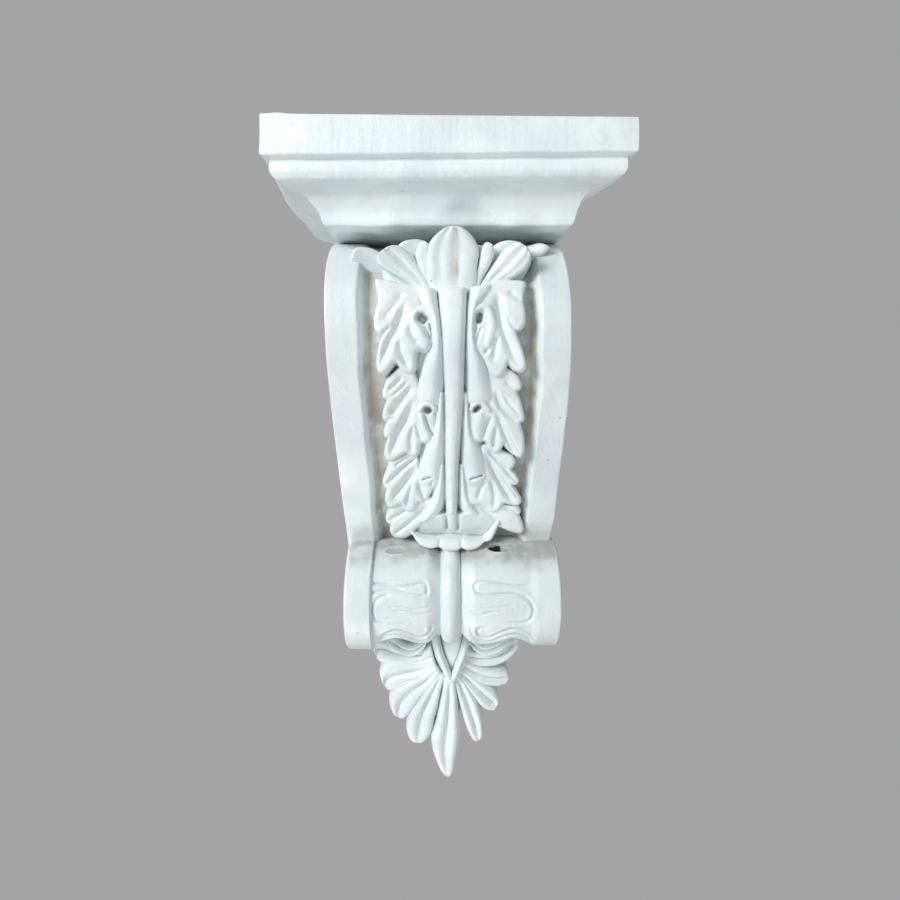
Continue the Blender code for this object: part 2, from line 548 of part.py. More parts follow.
def palmette_head():
    """The smooth tongue inside the band, which carries the band and the petals' roots up into the roll."""
    left, right = CENTRE_X - V_BAND_HALF_WIDTH, CENTRE_X + V_BAND_HALF_WIDTH
    outline = [(left, -TONGUE_TOP), (left, -TONGUE_SHOULDER), (CENTRE_X, TONGUE_TIP_GAP - V_BAND_LENGTH)]
    outline += [(right, -TONGUE_SHOULDER), (right, -TONGUE_TOP)]
    rings = [
        np.array([(x, OVERLAP + 3 * STAGGER, ROLL_Z + v) for x, v in outline]),
        np.array([(x, -PALMETTE_DEPTH - TONGUE_RISE, ROLL_Z + v) for x, v in outline]),
    ]
    return hidden("palmette_head", *skin(rings))


def socket(side):
    """Cutter for one blind round socket in the roll's top."""
    angles = np.linspace(0.0, 2 * math.pi, SOCKET_POINTS, endpoint=False)
    x, y = side * SOCKET_SPREAD + SOCKET_RADIUS * np.cos(angles), -SOCKET_OUT + SOCKET_RADIUS * np.sin(angles)
    surface = ROLL_Z + math.sqrt(ROLL_RADIUS**2 - (SOCKET_OUT - ROLL_AXIS_DEPTH) ** 2)
    ends = (surface - SOCKET_DEPTH, surface + SOCKET_RADIUS)
    rings = [np.stack([x, y, np.full_like(x, z)], axis=1) for z in ends]
    return hidden("socket", *skin(rings))


def box(name, low, high):
    """A plain box between two corners."""
    rings = [
        np.array([(low[0], low[1], z), (high[0], low[1], z), (high[0], high[1], z), (low[0], high[1], z)])
        for z in (low[2], high[2])
    ]
    return hidden(name, *skin(rings))


def plaster():
    """Off-white cast plaster, painted white, with a little gloss."""
    material = bpy.data.materials.new("plaster")
    material.use_nodes = True
    shader = material.node_tree.nodes["Principled BSDF"]
    shader.inputs["Base Color"].default_value = (0.80, 0.82, 0.80, 1.0)
    shader.inputs["Roughness"].default_value = 0.45
    shader.inputs["Metallic"].default_value = 0.0
    return material


for old in list(bpy.data.objects):
    bpy.data.objects.remove(old)

corbel = console_body()
corbel.name = "corbel"
corbel.hide_render = False
corbel.display_type = "TEXTURED"

joined = [cornice(), roll(), tie_bar(), v_band(), palmette_head()]
for side in (-1, 1):
    joined.append(disc("boss", side * (ROLL_HALF - OVERLAP), side * (ROLL_HALF + BOSS_HEIGHT), BOSS_RADIUS))
tips = [("fan_tip", FAN_TIPS, FAN_HEIGHT / FAN_DRAWN, FAN_DEPTH, COLLAR_Z, FAN_THICKNESS)]
tips += [("lip_tip", LIP_TIPS, LIP_REACH / LIP_DRAWN, CREASE_DEPTH, CREASE_Z, LIP_THICKNESS)]
for name, table, scale, depth, height, thickness in tips:
    for index, (*points, half, root_share) in enumerate(table):
        for side in (-1, 1) if index else (1,):
            line = [(CENTRE_X + side * x * scale, -depth - d * scale, height + z * scale) for x, d, z in points]
            joined.append(leaf_tip(name, line, half * scale, root_share, thickness / 2))
back = OVERLAP + 3 * STAGGER
for index, petal in enumerate(PETALS):
    for side in (-1, 1) if index else (1,):
        back += STAGGER
        joined.append(palmette_petal(side, petal, back))

behind = box("wall", (-ABACUS_WIDTH, 0.0, -TOTAL_HEIGHT), (ABACUS_WIDTH, ABACUS_DEPTH, TOTAL_HEIGHT))
cut = [behind, side_panel(-1), side_panel(1), socket(-1), socket(1)]

for name, operation, operands in (("joined", "UNION", joined), ("cut", "DIFFERENCE", cut)):
    group = bpy.data.collections.new(name)
    bpy.context.scene.collection.children.link(group)
    for operand in operands:
        bpy.context.collection.objects.unlink(operand)
        group.objects.link(operand)
    step = corbel.modifiers.new(name, "BOOLEAN")
    step.operation = operation
    step.solver = "EXACT"
    step.operand_type = "COLLECTION"
    step.collection = group

corbel.data.materials.append(plaster())
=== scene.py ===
import bpy
import numpy as np
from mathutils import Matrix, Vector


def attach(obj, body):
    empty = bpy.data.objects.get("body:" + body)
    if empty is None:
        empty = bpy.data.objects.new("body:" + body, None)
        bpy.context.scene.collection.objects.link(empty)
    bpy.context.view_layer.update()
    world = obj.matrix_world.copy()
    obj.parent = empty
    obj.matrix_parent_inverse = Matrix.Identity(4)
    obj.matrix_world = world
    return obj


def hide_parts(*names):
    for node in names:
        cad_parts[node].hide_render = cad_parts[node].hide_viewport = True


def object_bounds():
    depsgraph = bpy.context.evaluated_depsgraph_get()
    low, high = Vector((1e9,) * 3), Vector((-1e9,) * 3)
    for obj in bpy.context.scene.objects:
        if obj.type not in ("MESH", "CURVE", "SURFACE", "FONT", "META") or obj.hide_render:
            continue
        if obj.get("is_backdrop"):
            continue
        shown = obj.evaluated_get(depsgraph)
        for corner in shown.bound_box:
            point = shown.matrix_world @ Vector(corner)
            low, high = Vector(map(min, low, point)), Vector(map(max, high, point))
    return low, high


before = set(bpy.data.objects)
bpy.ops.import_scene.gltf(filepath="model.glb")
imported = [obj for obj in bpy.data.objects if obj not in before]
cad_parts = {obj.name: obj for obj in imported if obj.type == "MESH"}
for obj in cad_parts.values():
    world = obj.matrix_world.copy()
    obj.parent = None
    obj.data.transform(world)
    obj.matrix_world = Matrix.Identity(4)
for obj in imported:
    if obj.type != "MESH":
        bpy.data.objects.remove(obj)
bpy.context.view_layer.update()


# Cornice block: an abacus slab over a lip, an ovolo and a cavetto, run round three sides of the block with
# mitred corners. It is the top of the one casting, white plaster under a coat of satin white paint, and its
# edges wander a little because the mould was struck off by hand.
DATUM = 96.9
SLAB_HALF, SLAB_OUT, SLAB_TOP, SLAB_FOOT = 140.0, 185.0, 200.15, -24.0
CORNICE_LINE = (
    (60.0, 0.0), (8.0, 0.0), (4.0, 0.0), (2.0, 0.0), (0.8, -0.3), (0.1, -1.2), (0.0, -4.0), (0.0, -9.0),
    (0.0, -18.0), (0.0, -25.8), (0.4, -27.6), (1.8, -28.5), (4.6, -28.9), (6.1, -29.5), (6.1, -31.0),
    (5.8, -33.6), (5.7, -36.6), (6.4, -39.6), (9.2, -42.8), (14.5, -45.2), (21.5, -46.9), (26.4, -48.4),
    (29.6, -50.9), (32.1, -53.9), (34.0, -57.0), (36.0, -60.4), (37.3, -63.8), (38.2, -67.2), (39.4, -70.2),
    (41.0, -71.5), (44.0, -71.7), (60.0, -71.8),
)
CORNICE_STEPS, SIDE_STEPS, FRONT_STEPS, CORNERS = 150, 70, 110, (0, 1, 2, 3, 4)
TOP_RISE, TOP_FALL, CHIP_RISE, CHIP_ACROSS, CHIP_WIDE = 0.8, 2.6, 0.9, -127.0, 6.0
SAG, SAG_EVENED, SAG_FROM, SAG_TO, COVE_TOP, COVE_FOOT = 2.0, 1.25, -6.0, -66.0, -46.0, -64.0
LEFT_LEAN, RIGHT_LEAN, LEAN_FROM, LEAN_TO = -6.0, -15.0, 178.0, 105.0
UNEVEN_UP, UNEVEN_OUT, UNEVEN_ACROSS, BACK_GAP = 0.3, 0.5, 0.4, 0.3
# WHITE is the paint; the darker colour stands for dust and for painted shade in hollows and recesses.
WHITE, DIRT_AND_SHADE = (0.80, 0.872, 0.866), (0.40, 0.37, 0.31)
# How much the soffit is darkened, more towards its joint with the body: painted shade under the slab.
SOFFIT_FROM, SOFFIT_TO, SOFFIT_SHADE, JOINT_SHADE = -69.0, -71.5, 0.05, 0.2
HOLLOW_MOST = 3.0
# Black paint where the point attribute runs deepest, in the roll's sockets: painted shadow.
BLACK, BLACK_FROM, BLACK_FULL = (0.006, 0.007, 0.009), 6.0, 8.0
PATCHES, BREAKS, SMUDGES, BUBBLES, BUBBLE_GROUPS, SHEEN = 14.0, 60.0, 75.0, 55.0, 9.0, 35.0
STIPPLE, STIPPLE_HIGH, BRUSH, BRUSH_HIGH, BRUSH_STRETCH = 380.0, 0.6, 120.0, 1.1, (1.0, 1.0, 0.15)
SWELL, SWELL_HIGH, BUBBLE_DEEP, BUMP_STRENGTH, MILLIMETRE = 38.0, 1.8, 1.5, 0.5, 0.001


def placed(across, out, up):
    """Points in metres from drawn millimetres: across to the right, out of the wall, up from the datum."""
    points = np.broadcast_arrays(across, -np.asarray(out, float), np.asarray(up, float) + DATUM)
    return np.stack(points, axis=-1) / 1000.0


def smooth(low, high, value):
    """0 at low, 1 at high, and the S curve 3t^2 - 2t^3 between them."""
    share = np.clip((value - low) / (high - low), 0.0, 1.0)
    return share * share * (3.0 - 2.0 * share)


def through(points, count):
    """A line of count points through the given ones: the Catmull-Rom curve, stepped evenly by share."""
    line = np.asarray(points, float)
    line = np.concatenate([2 * line[:1] - line[1:2], line, 2 * line[-1:] - line[-2:-1]])
    at = np.linspace(0.0, len(line) - 3 - 1e-9, count)
    first = at.astype(int)
    t = (at - first)[:, None]
    a, b, c, d = line[first], line[first + 1], line[first + 2], line[first + 3]
    return 0.5 * (2 * b + (c - a) * t + (2 * a - 5 * b + 4 * c - d) * t**2 + (3 * b - a - 3 * c + d) * t**3)


def wander(first, second, size, seed):
    """A slow unevenness between about -1 and 1: the sum of six sine waves over three, each of about `size`
    across, whose directions, phases and stretches are drawn from the seed."""
    draw = np.random.default_rng(seed)
    total = 0.0
    for _ in range(6):
        angle, phase = draw.uniform(0, 2 * np.pi), draw.uniform(0, 2 * np.pi)
        stretch = draw.uniform(0.6, 1.6)
        along = first * np.cos(angle) + second * np.sin(angle)
        total = total + np.sin(along * 2 * np.pi * stretch / size + phase)
    return total / 3.0


def hollow_of(rings, outward, reach):
    """How far each point lies in a hollow, in millimetres: the average of the points around it, spread by
    `reach` passes of a five-point mean, less the point itself, along its outward normal."""
    mean = rings
    for _ in range(reach):
        before, after = np.concatenate([mean[:1], mean[:-1]]), np.concatenate([mean[1:], mean[-1:]])
        mean = (mean + before + after + np.roll(mean, 1, axis=1) + np.roll(mean, -1, axis=1)) / 5.0
    normal = np.cross(np.roll(rings, -1, axis=1) - np.roll(rings, 1, axis=1), np.gradient(rings, axis=0))
    normal /= np.linalg.norm(normal, axis=-1, keepdims=True) + 1e-12
    return 1000.0 * outward * ((mean - rings) * normal).sum(axis=-1)


def cast(name, shells, shade_and_grime=None, reach=10):
    """A mesh of closed shells. A shell is an array of rings, each ring closed on itself: quads join a ring
    to the next, and a fan of triangles shuts each end on the middle of its ring. Its faces are turned
    outwards by the sign of the enclosed volume. A point attribute holds how deep each point lies in a
    hollow, up to a limit, plus the darkening given for it: dust settled in the hollows together with
    painted shade in creases, recesses and under overhangs."""
    points, faces, shade_and_dust, start = [], [], [], 0
    for index, rings in enumerate(shells):
        rows, count = rings.shape[:2]
        at = start + np.arange(rows * count).reshape(rows, count)
        beside = np.roll(at, -1, axis=1)
        quads = np.stack([at[:-1], beside[:-1], beside[1:], at[1:]], axis=-1).reshape(-1, 4)
        low, high = start + rows * count, start + rows * count + 1
        fans = np.concatenate([
            np.stack([beside[0], at[0], np.full(count, low)], axis=-1),
            np.stack([at[-1], beside[-1], np.full(count, high)], axis=-1),
        ])
        all_points = np.concatenate([rings.reshape(-1, 3), rings[:1].mean(axis=1), rings[-1:].mean(axis=1)])
        corners = all_points[quads - start]
        crossed = np.cross(corners[:, 2] - corners[:, 0], corners[:, 3] - corners[:, 1])
        outward = np.sign((crossed * (corners.mean(axis=1) - all_points.mean(axis=0))).sum())
        if outward < 0:
            quads, fans = quads[:, ::-1], fans[:, ::-1]
        # Darkening in hollows: dust settled there and painted shade in creases and recesses.
        shade_and_dirt = np.minimum(hollow_of(rings, outward, reach).reshape(-1), HOLLOW_MOST)
        if shade_and_grime is not None:
            shade_and_dirt = shade_and_dirt + shade_and_grime[index].reshape(-1)
        points.append(all_points)
        shade_and_dust.append(np.concatenate([shade_and_dirt, [0.0, 0.0]]))
        faces += quads.tolist() + fans.tolist()
        start += len(all_points)
    mesh = bpy.data.meshes.new(name)
    mesh.from_pydata(np.concatenate(points), [], faces)
    mesh.update()
    mesh.polygons.foreach_set("use_smooth", np.ones(len(faces), bool))
    attribute = mesh.attributes.new("shade_and_dust", "FLOAT", "POINT")
    attribute.data.foreach_set("value", np.concatenate(shade_and_dust).astype(np.float32))
    piece = bpy.data.objects.new(name, mesh)
    bpy.context.collection.objects.link(piece)
    return piece


def painted_plaster(name, white, shade_and_dirt, shade_and_dirt_gain, bubbles):
    """Cast plaster under satin white paint. A darker colour is mixed in by the point attribute, broken up by
    noise: dust in the hollows and painted shade in creases, recesses and under overhangs. Slow noise cools
    the white in patches; fine noise is the roller's stipple and long noise the brush marks, both as bump;
    sparse cell points are air bubbles, dark and sunk; where the attribute runs deepest, in a socket's depth,
    the colour goes to black, a painted shadow."""
    material = bpy.data.materials.new(name)
    material.use_nodes = True
    nodes, links = material.node_tree.nodes, material.node_tree.links
    shader = nodes["Principled BSDF"]
    place = nodes.new("ShaderNodeTexCoord").outputs["Object"]

    def noise(scale, detail, stretch=None):
        at = place
        if stretch:
            mapping = nodes.new("ShaderNodeMapping")
            mapping.inputs["Scale"].default_value = stretch
            links.new(place, mapping.inputs["Vector"])
            at = mapping.outputs["Vector"]
        node = nodes.new("ShaderNodeTexNoise")
        node.inputs["Scale"].default_value = scale
        node.inputs["Detail"].default_value = detail
        links.new(at, node.inputs["Vector"])
        return node.outputs["Fac"]

    def ranged(value, low, high, to_low, to_high):
        node = nodes.new("ShaderNodeMapRange")
        node.interpolation_type = "SMOOTHSTEP"
        for socket, number in zip(("From Min", "From Max", "To Min", "To Max"), (low, high, to_low, to_high)):
            node.inputs[socket].default_value = number
        links.new(value, node.inputs["Value"])
        return node.outputs["Result"]

    def joined(operation, first, second):
        node = nodes.new("ShaderNodeMath")
        node.operation = operation
        for socket, value in zip(node.inputs, (first, second)):
            if isinstance(value, (int, float)):
                socket.default_value = value
            else:
                links.new(value, socket)
        return node.outputs["Value"]

    def mixed(share, first, second):
        node = nodes.new("ShaderNodeMix")
        node.data_type = "RGBA"
        links.new(share, node.inputs["Factor"])
        for socket, value in zip((node.inputs[6], node.inputs[7]), (first, second)):
            if isinstance(value, tuple):
                socket.default_value = (*value, 1.0)
            else:
                links.new(value, socket)
        return node.outputs[2]

    # The darker colour is dust and painted shade, mixed in by the point attribute.
    shade_and_dust = nodes.new("ShaderNodeAttribute")
    shade_and_dust.attribute_name = "shade_and_dust"
    broken = joined("MULTIPLY", shade_and_dust.outputs["Fac"], ranged(noise(BREAKS, 6.0), 0.3, 0.7, 0.55, 1.25))
    shade_and_grime = ranged(joined("MULTIPLY", broken, shade_and_dirt_gain), 0.05, 1.0, 0.0, 1.0)
    cells = nodes.new("ShaderNodeTexVoronoi")
    cells.inputs["Scale"].default_value = BUBBLES
    links.new(place, cells.inputs["Vector"])
    grouped = joined("GREATER_THAN", noise(BUBBLE_GROUPS, 2.0), 0.56)
    bubble = joined("MULTIPLY", ranged(cells.outputs["Distance"], 0.05, 0.09, bubbles, 0.0), grouped)
    cool = (0.9 * white[0], 0.9 * white[1], 0.935 * white[2])
    smudge = tuple(0.8 * w + 0.2 * d for w, d in zip(white, shade_and_dirt))
    paint = mixed(ranged(noise(PATCHES, 4.0), 0.4, 0.65, 0.0, 1.0), white, cool)
    paint = mixed(ranged(noise(SMUDGES, 5.0), 0.5, 0.72, 0.0, 0.7), paint, smudge)
    paint = mixed(shade_and_grime, paint, shade_and_dirt)
    paint = mixed(bubble, paint, tuple(0.6 * part for part in shade_and_dirt))
    # Painted shadow: the colour goes to black where the attribute runs deepest, in a socket's depth.
    paint = mixed(ranged(shade_and_dust.outputs["Fac"], BLACK_FROM, BLACK_FULL, 0.0, 1.0), paint, BLACK)
    links.new(paint, shader.inputs["Base Color"])
    sheen = ranged(noise(SHEEN, 5.0), 0.3, 0.7, 0.30, 0.52)
    links.new(joined("ADD", sheen, joined("MULTIPLY", shade_and_grime, 0.2)), shader.inputs["Roughness"])
    stipple = joined("MULTIPLY", noise(STIPPLE, 4.0), STIPPLE_HIGH)
    brush = joined("MULTIPLY", noise(BRUSH, 5.0, BRUSH_STRETCH), BRUSH_HIGH)
    swell = joined("MULTIPLY", noise(SWELL, 3.0), SWELL_HIGH)
    height = joined("ADD", joined("ADD", stipple, brush), swell)
    height = joined("SUBTRACT", height, joined("MULTIPLY", bubble, BUBBLE_DEEP))
    bump = nodes.new("ShaderNodeBump")
    bump.inputs["Strength"].default_value = BUMP_STRENGTH
    bump.inputs["Distance"].default_value = MILLIMETRE
    links.new(height, bump.inputs["Height"])
    links.new(bump.outputs["Normal"], shader.inputs["Normal"])
    return material


line = through(CORNICE_LINE, CORNICE_STEPS)
inset, drop = line[:, :1], line[:, 1:]
runs = ((0.0, SIDE_STEPS), (1.0, FRONT_STEPS), (2.0, SIDE_STEPS), (3.0, FRONT_STEPS))
turn = np.concatenate([np.linspace(start, start + 1.0, steps, endpoint=False) for start, steps in runs])
across = np.interp(turn[None, :], CORNERS, (-1, -1, 1, 1, -1)) * (SLAB_HALF - inset)
reach_out = np.interp(turn[None, :], CORNERS, (0, 1, 1, 0, 0)) * (SLAB_OUT - inset)
on_block = smooth(0.0, -2.0, drop) * smooth(0.0, 20.0, reach_out)
tilt = (across + SLAB_HALF) / (2 * SLAB_HALF)
up = SLAB_TOP + drop + (TOP_RISE - TOP_FALL * tilt) * smooth(SLAB_FOOT, -2.0, drop)
sagging = smooth(SAG_FROM, SLAB_FOOT, drop) * smooth(SAG_TO, COVE_TOP, drop)
up = up - SAG * (1 - SAG_EVENED * tilt) * sagging
up = up + CHIP_RISE * smooth(-2.5, 0.0, drop) * np.exp(-((across - CHIP_ACROSS) / CHIP_WIDE) ** 2)
up = up + on_block * UNEVEN_UP * wander(across, reach_out, 70.0, 3)
reach_out = reach_out + on_block * UNEVEN_OUT * wander(across, up, 60.0, 5) - BACK_GAP
reach_out = np.clip(reach_out, BACK_GAP, None)
lean = (LEFT_LEAN + (RIGHT_LEAN - LEFT_LEAN) * tilt) * smooth(COVE_FOOT, COVE_TOP, drop)
lean = lean * smooth(LEAN_FROM, LEAN_TO, reach_out)
across = across + on_block * UNEVEN_ACROSS * wander(up, reach_out, 55.0, 4) + lean
# Painted shade under the slab: the soffit darkened a little, more where it meets the body.
under = smooth(SOFFIT_FROM, SOFFIT_TO, drop) * np.ones_like(across)
shade_and_grime = under * (SOFFIT_SHADE + JOINT_SHADE * smooth(54.0, 60.0, inset))
cornice = cast("cornice", [placed(across, reach_out, up)], [shade_and_grime])
cornice.data.set_sharp_from_angle(angle=np.radians(50))
cornice.data.materials.append(painted_plaster("cornice_paint", WHITE, DIRT_AND_SHADE, 0.9, 0.35))
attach(cornice, "root")
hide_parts("corbel")


# Console body: the curved and raking trunk behind the leaf, cast with a flat raised strap down each edge of
# its face, the ground sunk between them and a shallow panel sunk in each flank. The sunk ground is darkened
# for dust settled in the paint and for painted shade in the deep channel beside the leaf, and the head just
# under the cornice is darkened for painted shade. Widths are marked as heights and distances from the middle.
GROUND_DROP, LEFT_RUN, RIGHT_RUN, ARRIS = 13.0, 10.0, 9.0, 2.0
LEFT_EDGE = (
    (134, 101.4), (99, 101.2), (69, 100.6), (36, 99.8), (-13, 99.8), (-86, 98.8), (-150, 97.0),
    (-200, 97.0),
)
RIGHT_EDGE = (
    (134, 98), (99, 98.6), (69, 99.8), (36, 100.8), (4, 102.2), (-13, 103), (-86, 103), (-128, 103),
    (-150, 101), (-200, 101),
)
LEFT_INNER = ((134, 75), (90, 75.5), (0, 74.6), (-67, 73.4), (-128, 72), (-200, 72))
RIGHT_INNER = ((134, 75), (90, 75.5), (60, 76.5), (0, 79.4), (-67, 78.8), (-128, 77.6), (-200, 77.6))
HEAD_OUT, HEAD_FULL, HEAD_FROM, HEAD_RISE, FACE_EASE = 71.0, 146.8, 60.0, 69.5, 6.0
CREASE_UP, CREASE_OUT, RAKE = -151.2, 48.9, 0.535
PANEL_MARGIN, PANEL_DROP, PANEL_EASE, PANEL_TOP, PANEL_FOOT = 16.0, 3.0, 3.0, 113.0, -136.0
BODY_TOP, BODY_FOOT, BODY_ROWS, FACE_TOP = 134.0, -200.0, 220, 129.0
# A darker copy of the cornice's white paint for every part below the slab: painted shade, as the light falls
# off downwards.
SHADED_WHITE = (0.735, 0.802, 0.796)
# How much the sunk ground and the head under the cornice are darkened: dust and painted shade on the ground,
# painted shade under the cornice.
GROUND_DUST_AND_SHADE, GROUND_PATCHES, GROUND_LEFT_DARKER, UNDER_CORNICE_SHADE = 0.62, 0.12, 0.16, 0.5


def face_out(up):
    """How far the strap's face stands out of the wall at a height: a quarter ellipse under the soffit and the
    raking line below it, eased into each other as the softer of the two."""
    above = np.clip((up - HEAD_FROM) / HEAD_RISE, 0.0, 1.0)
    head = HEAD_OUT + (HEAD_FULL - HEAD_OUT) * np.sqrt(1.0 - above**2)
    rake = CREASE_OUT + RAKE * (up - CREASE_UP)
    return -FACE_EASE * np.logaddexp(-head / FACE_EASE, -rake / FACE_EASE)


def at_height(up, marks):
    """A width at each height, straight between the marked heights and widths."""
    heights, widths = np.array(marks, float)[::-1].T
    return np.interp(up, heights, widths)


def face_half(up, inner, run, edge):
    """One half of the face, from its middle out: how far across each point is, and how far it stands over
    the straps. Ground, a wall rising as an S curve over its run, the strap, a quarter-round at its edge."""
    ground, wall = np.linspace(0.0, 1.0, 30)[None, :-1], np.linspace(0.0, 1.0, 26)[None, :]
    strap, arris = np.linspace(0.0, 1.0, 14)[None, 1:], np.linspace(0.0, np.pi / 2, 8)[None, 1:]
    parts = (
        (ground * (inner - run), 0 * ground - 1),
        (inner - run + wall * run, smooth(0.0, 1.0, wall) - 1),
        (inner + strap * (edge - ARRIS - inner), 0 * strap),
        (edge - ARRIS + ARRIS * np.sin(arris), 0 * arris),
    )
    dip = np.concatenate([0 * ground, 0 * wall, 0 * strap, ARRIS * (1 - np.cos(arris))], axis=1)
    reach = np.concatenate([part[0] + 0 * up for part in parts], axis=1)
    return reach, GROUND_DROP * np.concatenate([part[1] + 0 * up for part in parts], axis=1) - dip


up = np.linspace(BODY_TOP, BODY_FOOT, BODY_ROWS)[:, None]
left_edge, right_edge = at_height(up, LEFT_EDGE), at_height(up, RIGHT_EDGE)
left_inner = at_height(up, LEFT_INNER) + 0.7 * wander(up, 0.0, 90.0, 11)
right_inner = at_height(up, RIGHT_INNER) + 0.7 * wander(up, 40.0, 90.0, 11)
left, left_rise = face_half(up, left_inner, LEFT_RUN, left_edge)
right, right_rise = face_half(up, right_inner, RIGHT_RUN, right_edge)
across = np.concatenate([-left[:, :0:-1], right], axis=1)
relief = np.concatenate([left_rise[:, :0:-1], right_rise], axis=1)
front = face_out(np.minimum(up, FACE_TOP)) + relief + 0.45 * wander(across, up, 55.0, 12)
flank = np.linspace(0.0, 1.0, 40)[None, 1:]
edge = front[:, -1:]
sunk = smooth(0.0, PANEL_EASE, np.minimum((1 - flank) * edge, flank * edge) - PANEL_MARGIN)
sunk = sunk * smooth(0.0, PANEL_EASE, PANEL_TOP - up) * smooth(0.0, PANEL_EASE, up - PANEL_FOOT)
back = np.linspace(1.0, 0.0, 20)[None, 1:-1]
right_side, left_side = right_edge - PANEL_DROP * sunk, PANEL_DROP * sunk[:, ::-1] - left_edge
ring_across = [across, right_side, right_edge * back - left_edge * (1 - back), left_side[:, :-1]]
ring_across = np.concatenate(ring_across, axis=1)
ring_out = [front, edge * (1 - flank), 0 * (back + up), (front[:, :1] * flank)[:, :-1]]
ring_out = np.concatenate(ring_out, axis=1)
ring_up = up + 0 * ring_across
# Darken the sunk ground, patchily and more to the left, for dust and painted shade in the deep channel, and
# the head under the cornice for painted shade.
on_ground = np.zeros_like(ring_out)
on_ground[:, :front.shape[1]] = smooth(-1.5, -9.0, relief)
patches = GROUND_PATCHES * wander(ring_across, ring_up, 90.0, 14)
shade_and_grime = on_ground * (GROUND_DUST_AND_SHADE + patches + GROUND_LEFT_DARKER * smooth(0.0, -60.0, ring_across))
shade_and_grime = shade_and_grime + UNDER_CORNICE_SHADE * smooth(114.0, 127.0, ring_up) * (ring_out > HEAD_OUT - 1.0)
console = cast("console", [placed(ring_across, ring_out, ring_up)], [shade_and_grime])
console.data.materials.append(painted_plaster("console_paint", SHADED_WHITE, DIRT_AND_SHADE, 0.8, 0.4))
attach(console, "root")
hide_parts("corbel")


# Acanthus leaf: three tiers of lobes a side and a foot, carved in the mould over a hollow stem, each tier
# lapping over the next. It stands proud of the straps, with drilled eyes between the tiers and pipes beside
# the stem. Everything is drawn in millimetres: across from the middle, up from the datum.
LEAF_LEFT, LEAF_RIGHT, LEAF_TOP, LEAF_FOOT, LEAF_STEP = -66.0, 78.0, 90.0, -161.0, 0.8
LEAF_BED, LEAF_BACK, BLADE_RISE, LEAF_MIDDLE = -14.5, -17.0, -4.0, 4.0
TIP_ROUND, TIP_FALL, TIP_RUN, SPREAD_FROM, SPREAD_RUN = 3.6, 26.0, 2.6, 15.0, 40.0
FOLD_WIDER, FOLD_DEEPER, FOLD_POWER, RIDGE_FALL = 2.7, 1.12, 1.7, 2.4
TIER_EASE, RIDGE_EASE, LIP_EASE = 0.5, 0.5, 2.2
STEM_LEFT = (
    (90, -9.5), (75, -8.0), (40, -5.0), (0, -3.0), (-50, -2.5), (-100, -2.0), (-138, 0.0), (-160, 1.0),
)
STEM_RIGHT = (
    (90, 16.5), (75, 15.2), (30, 13.6), (-10, 13.6), (-50, 11.4), (-80, 10.2), (-120, 9.8), (-160, 11.8),
)
STEM_RISE, STEM_CROWN, GROOVE_WIDE, GROOVE_RIGHT, GROOVE_LEFT, GROOVE_GAIN = 9.4, 1.8, 2.1, 4.8, 3.0, 1.6
LEAF_CREST = (
    (-66, 86), (-58, 86), (-45, 83.5), (-33, 81.5), (-22, 79), (-9, 77), (0, 77.8), (14, 78), (29, 80.5),
    (38, 84.5), (50, 85.5), (62, 83), (78, 82),
)
LEAF_BLADE = (
    (-46, 92), (48, 92), (50, 0), (46, -60), (48, -110), (34, -160), (-22, -160), (-38, -120), (-40, 0),
)
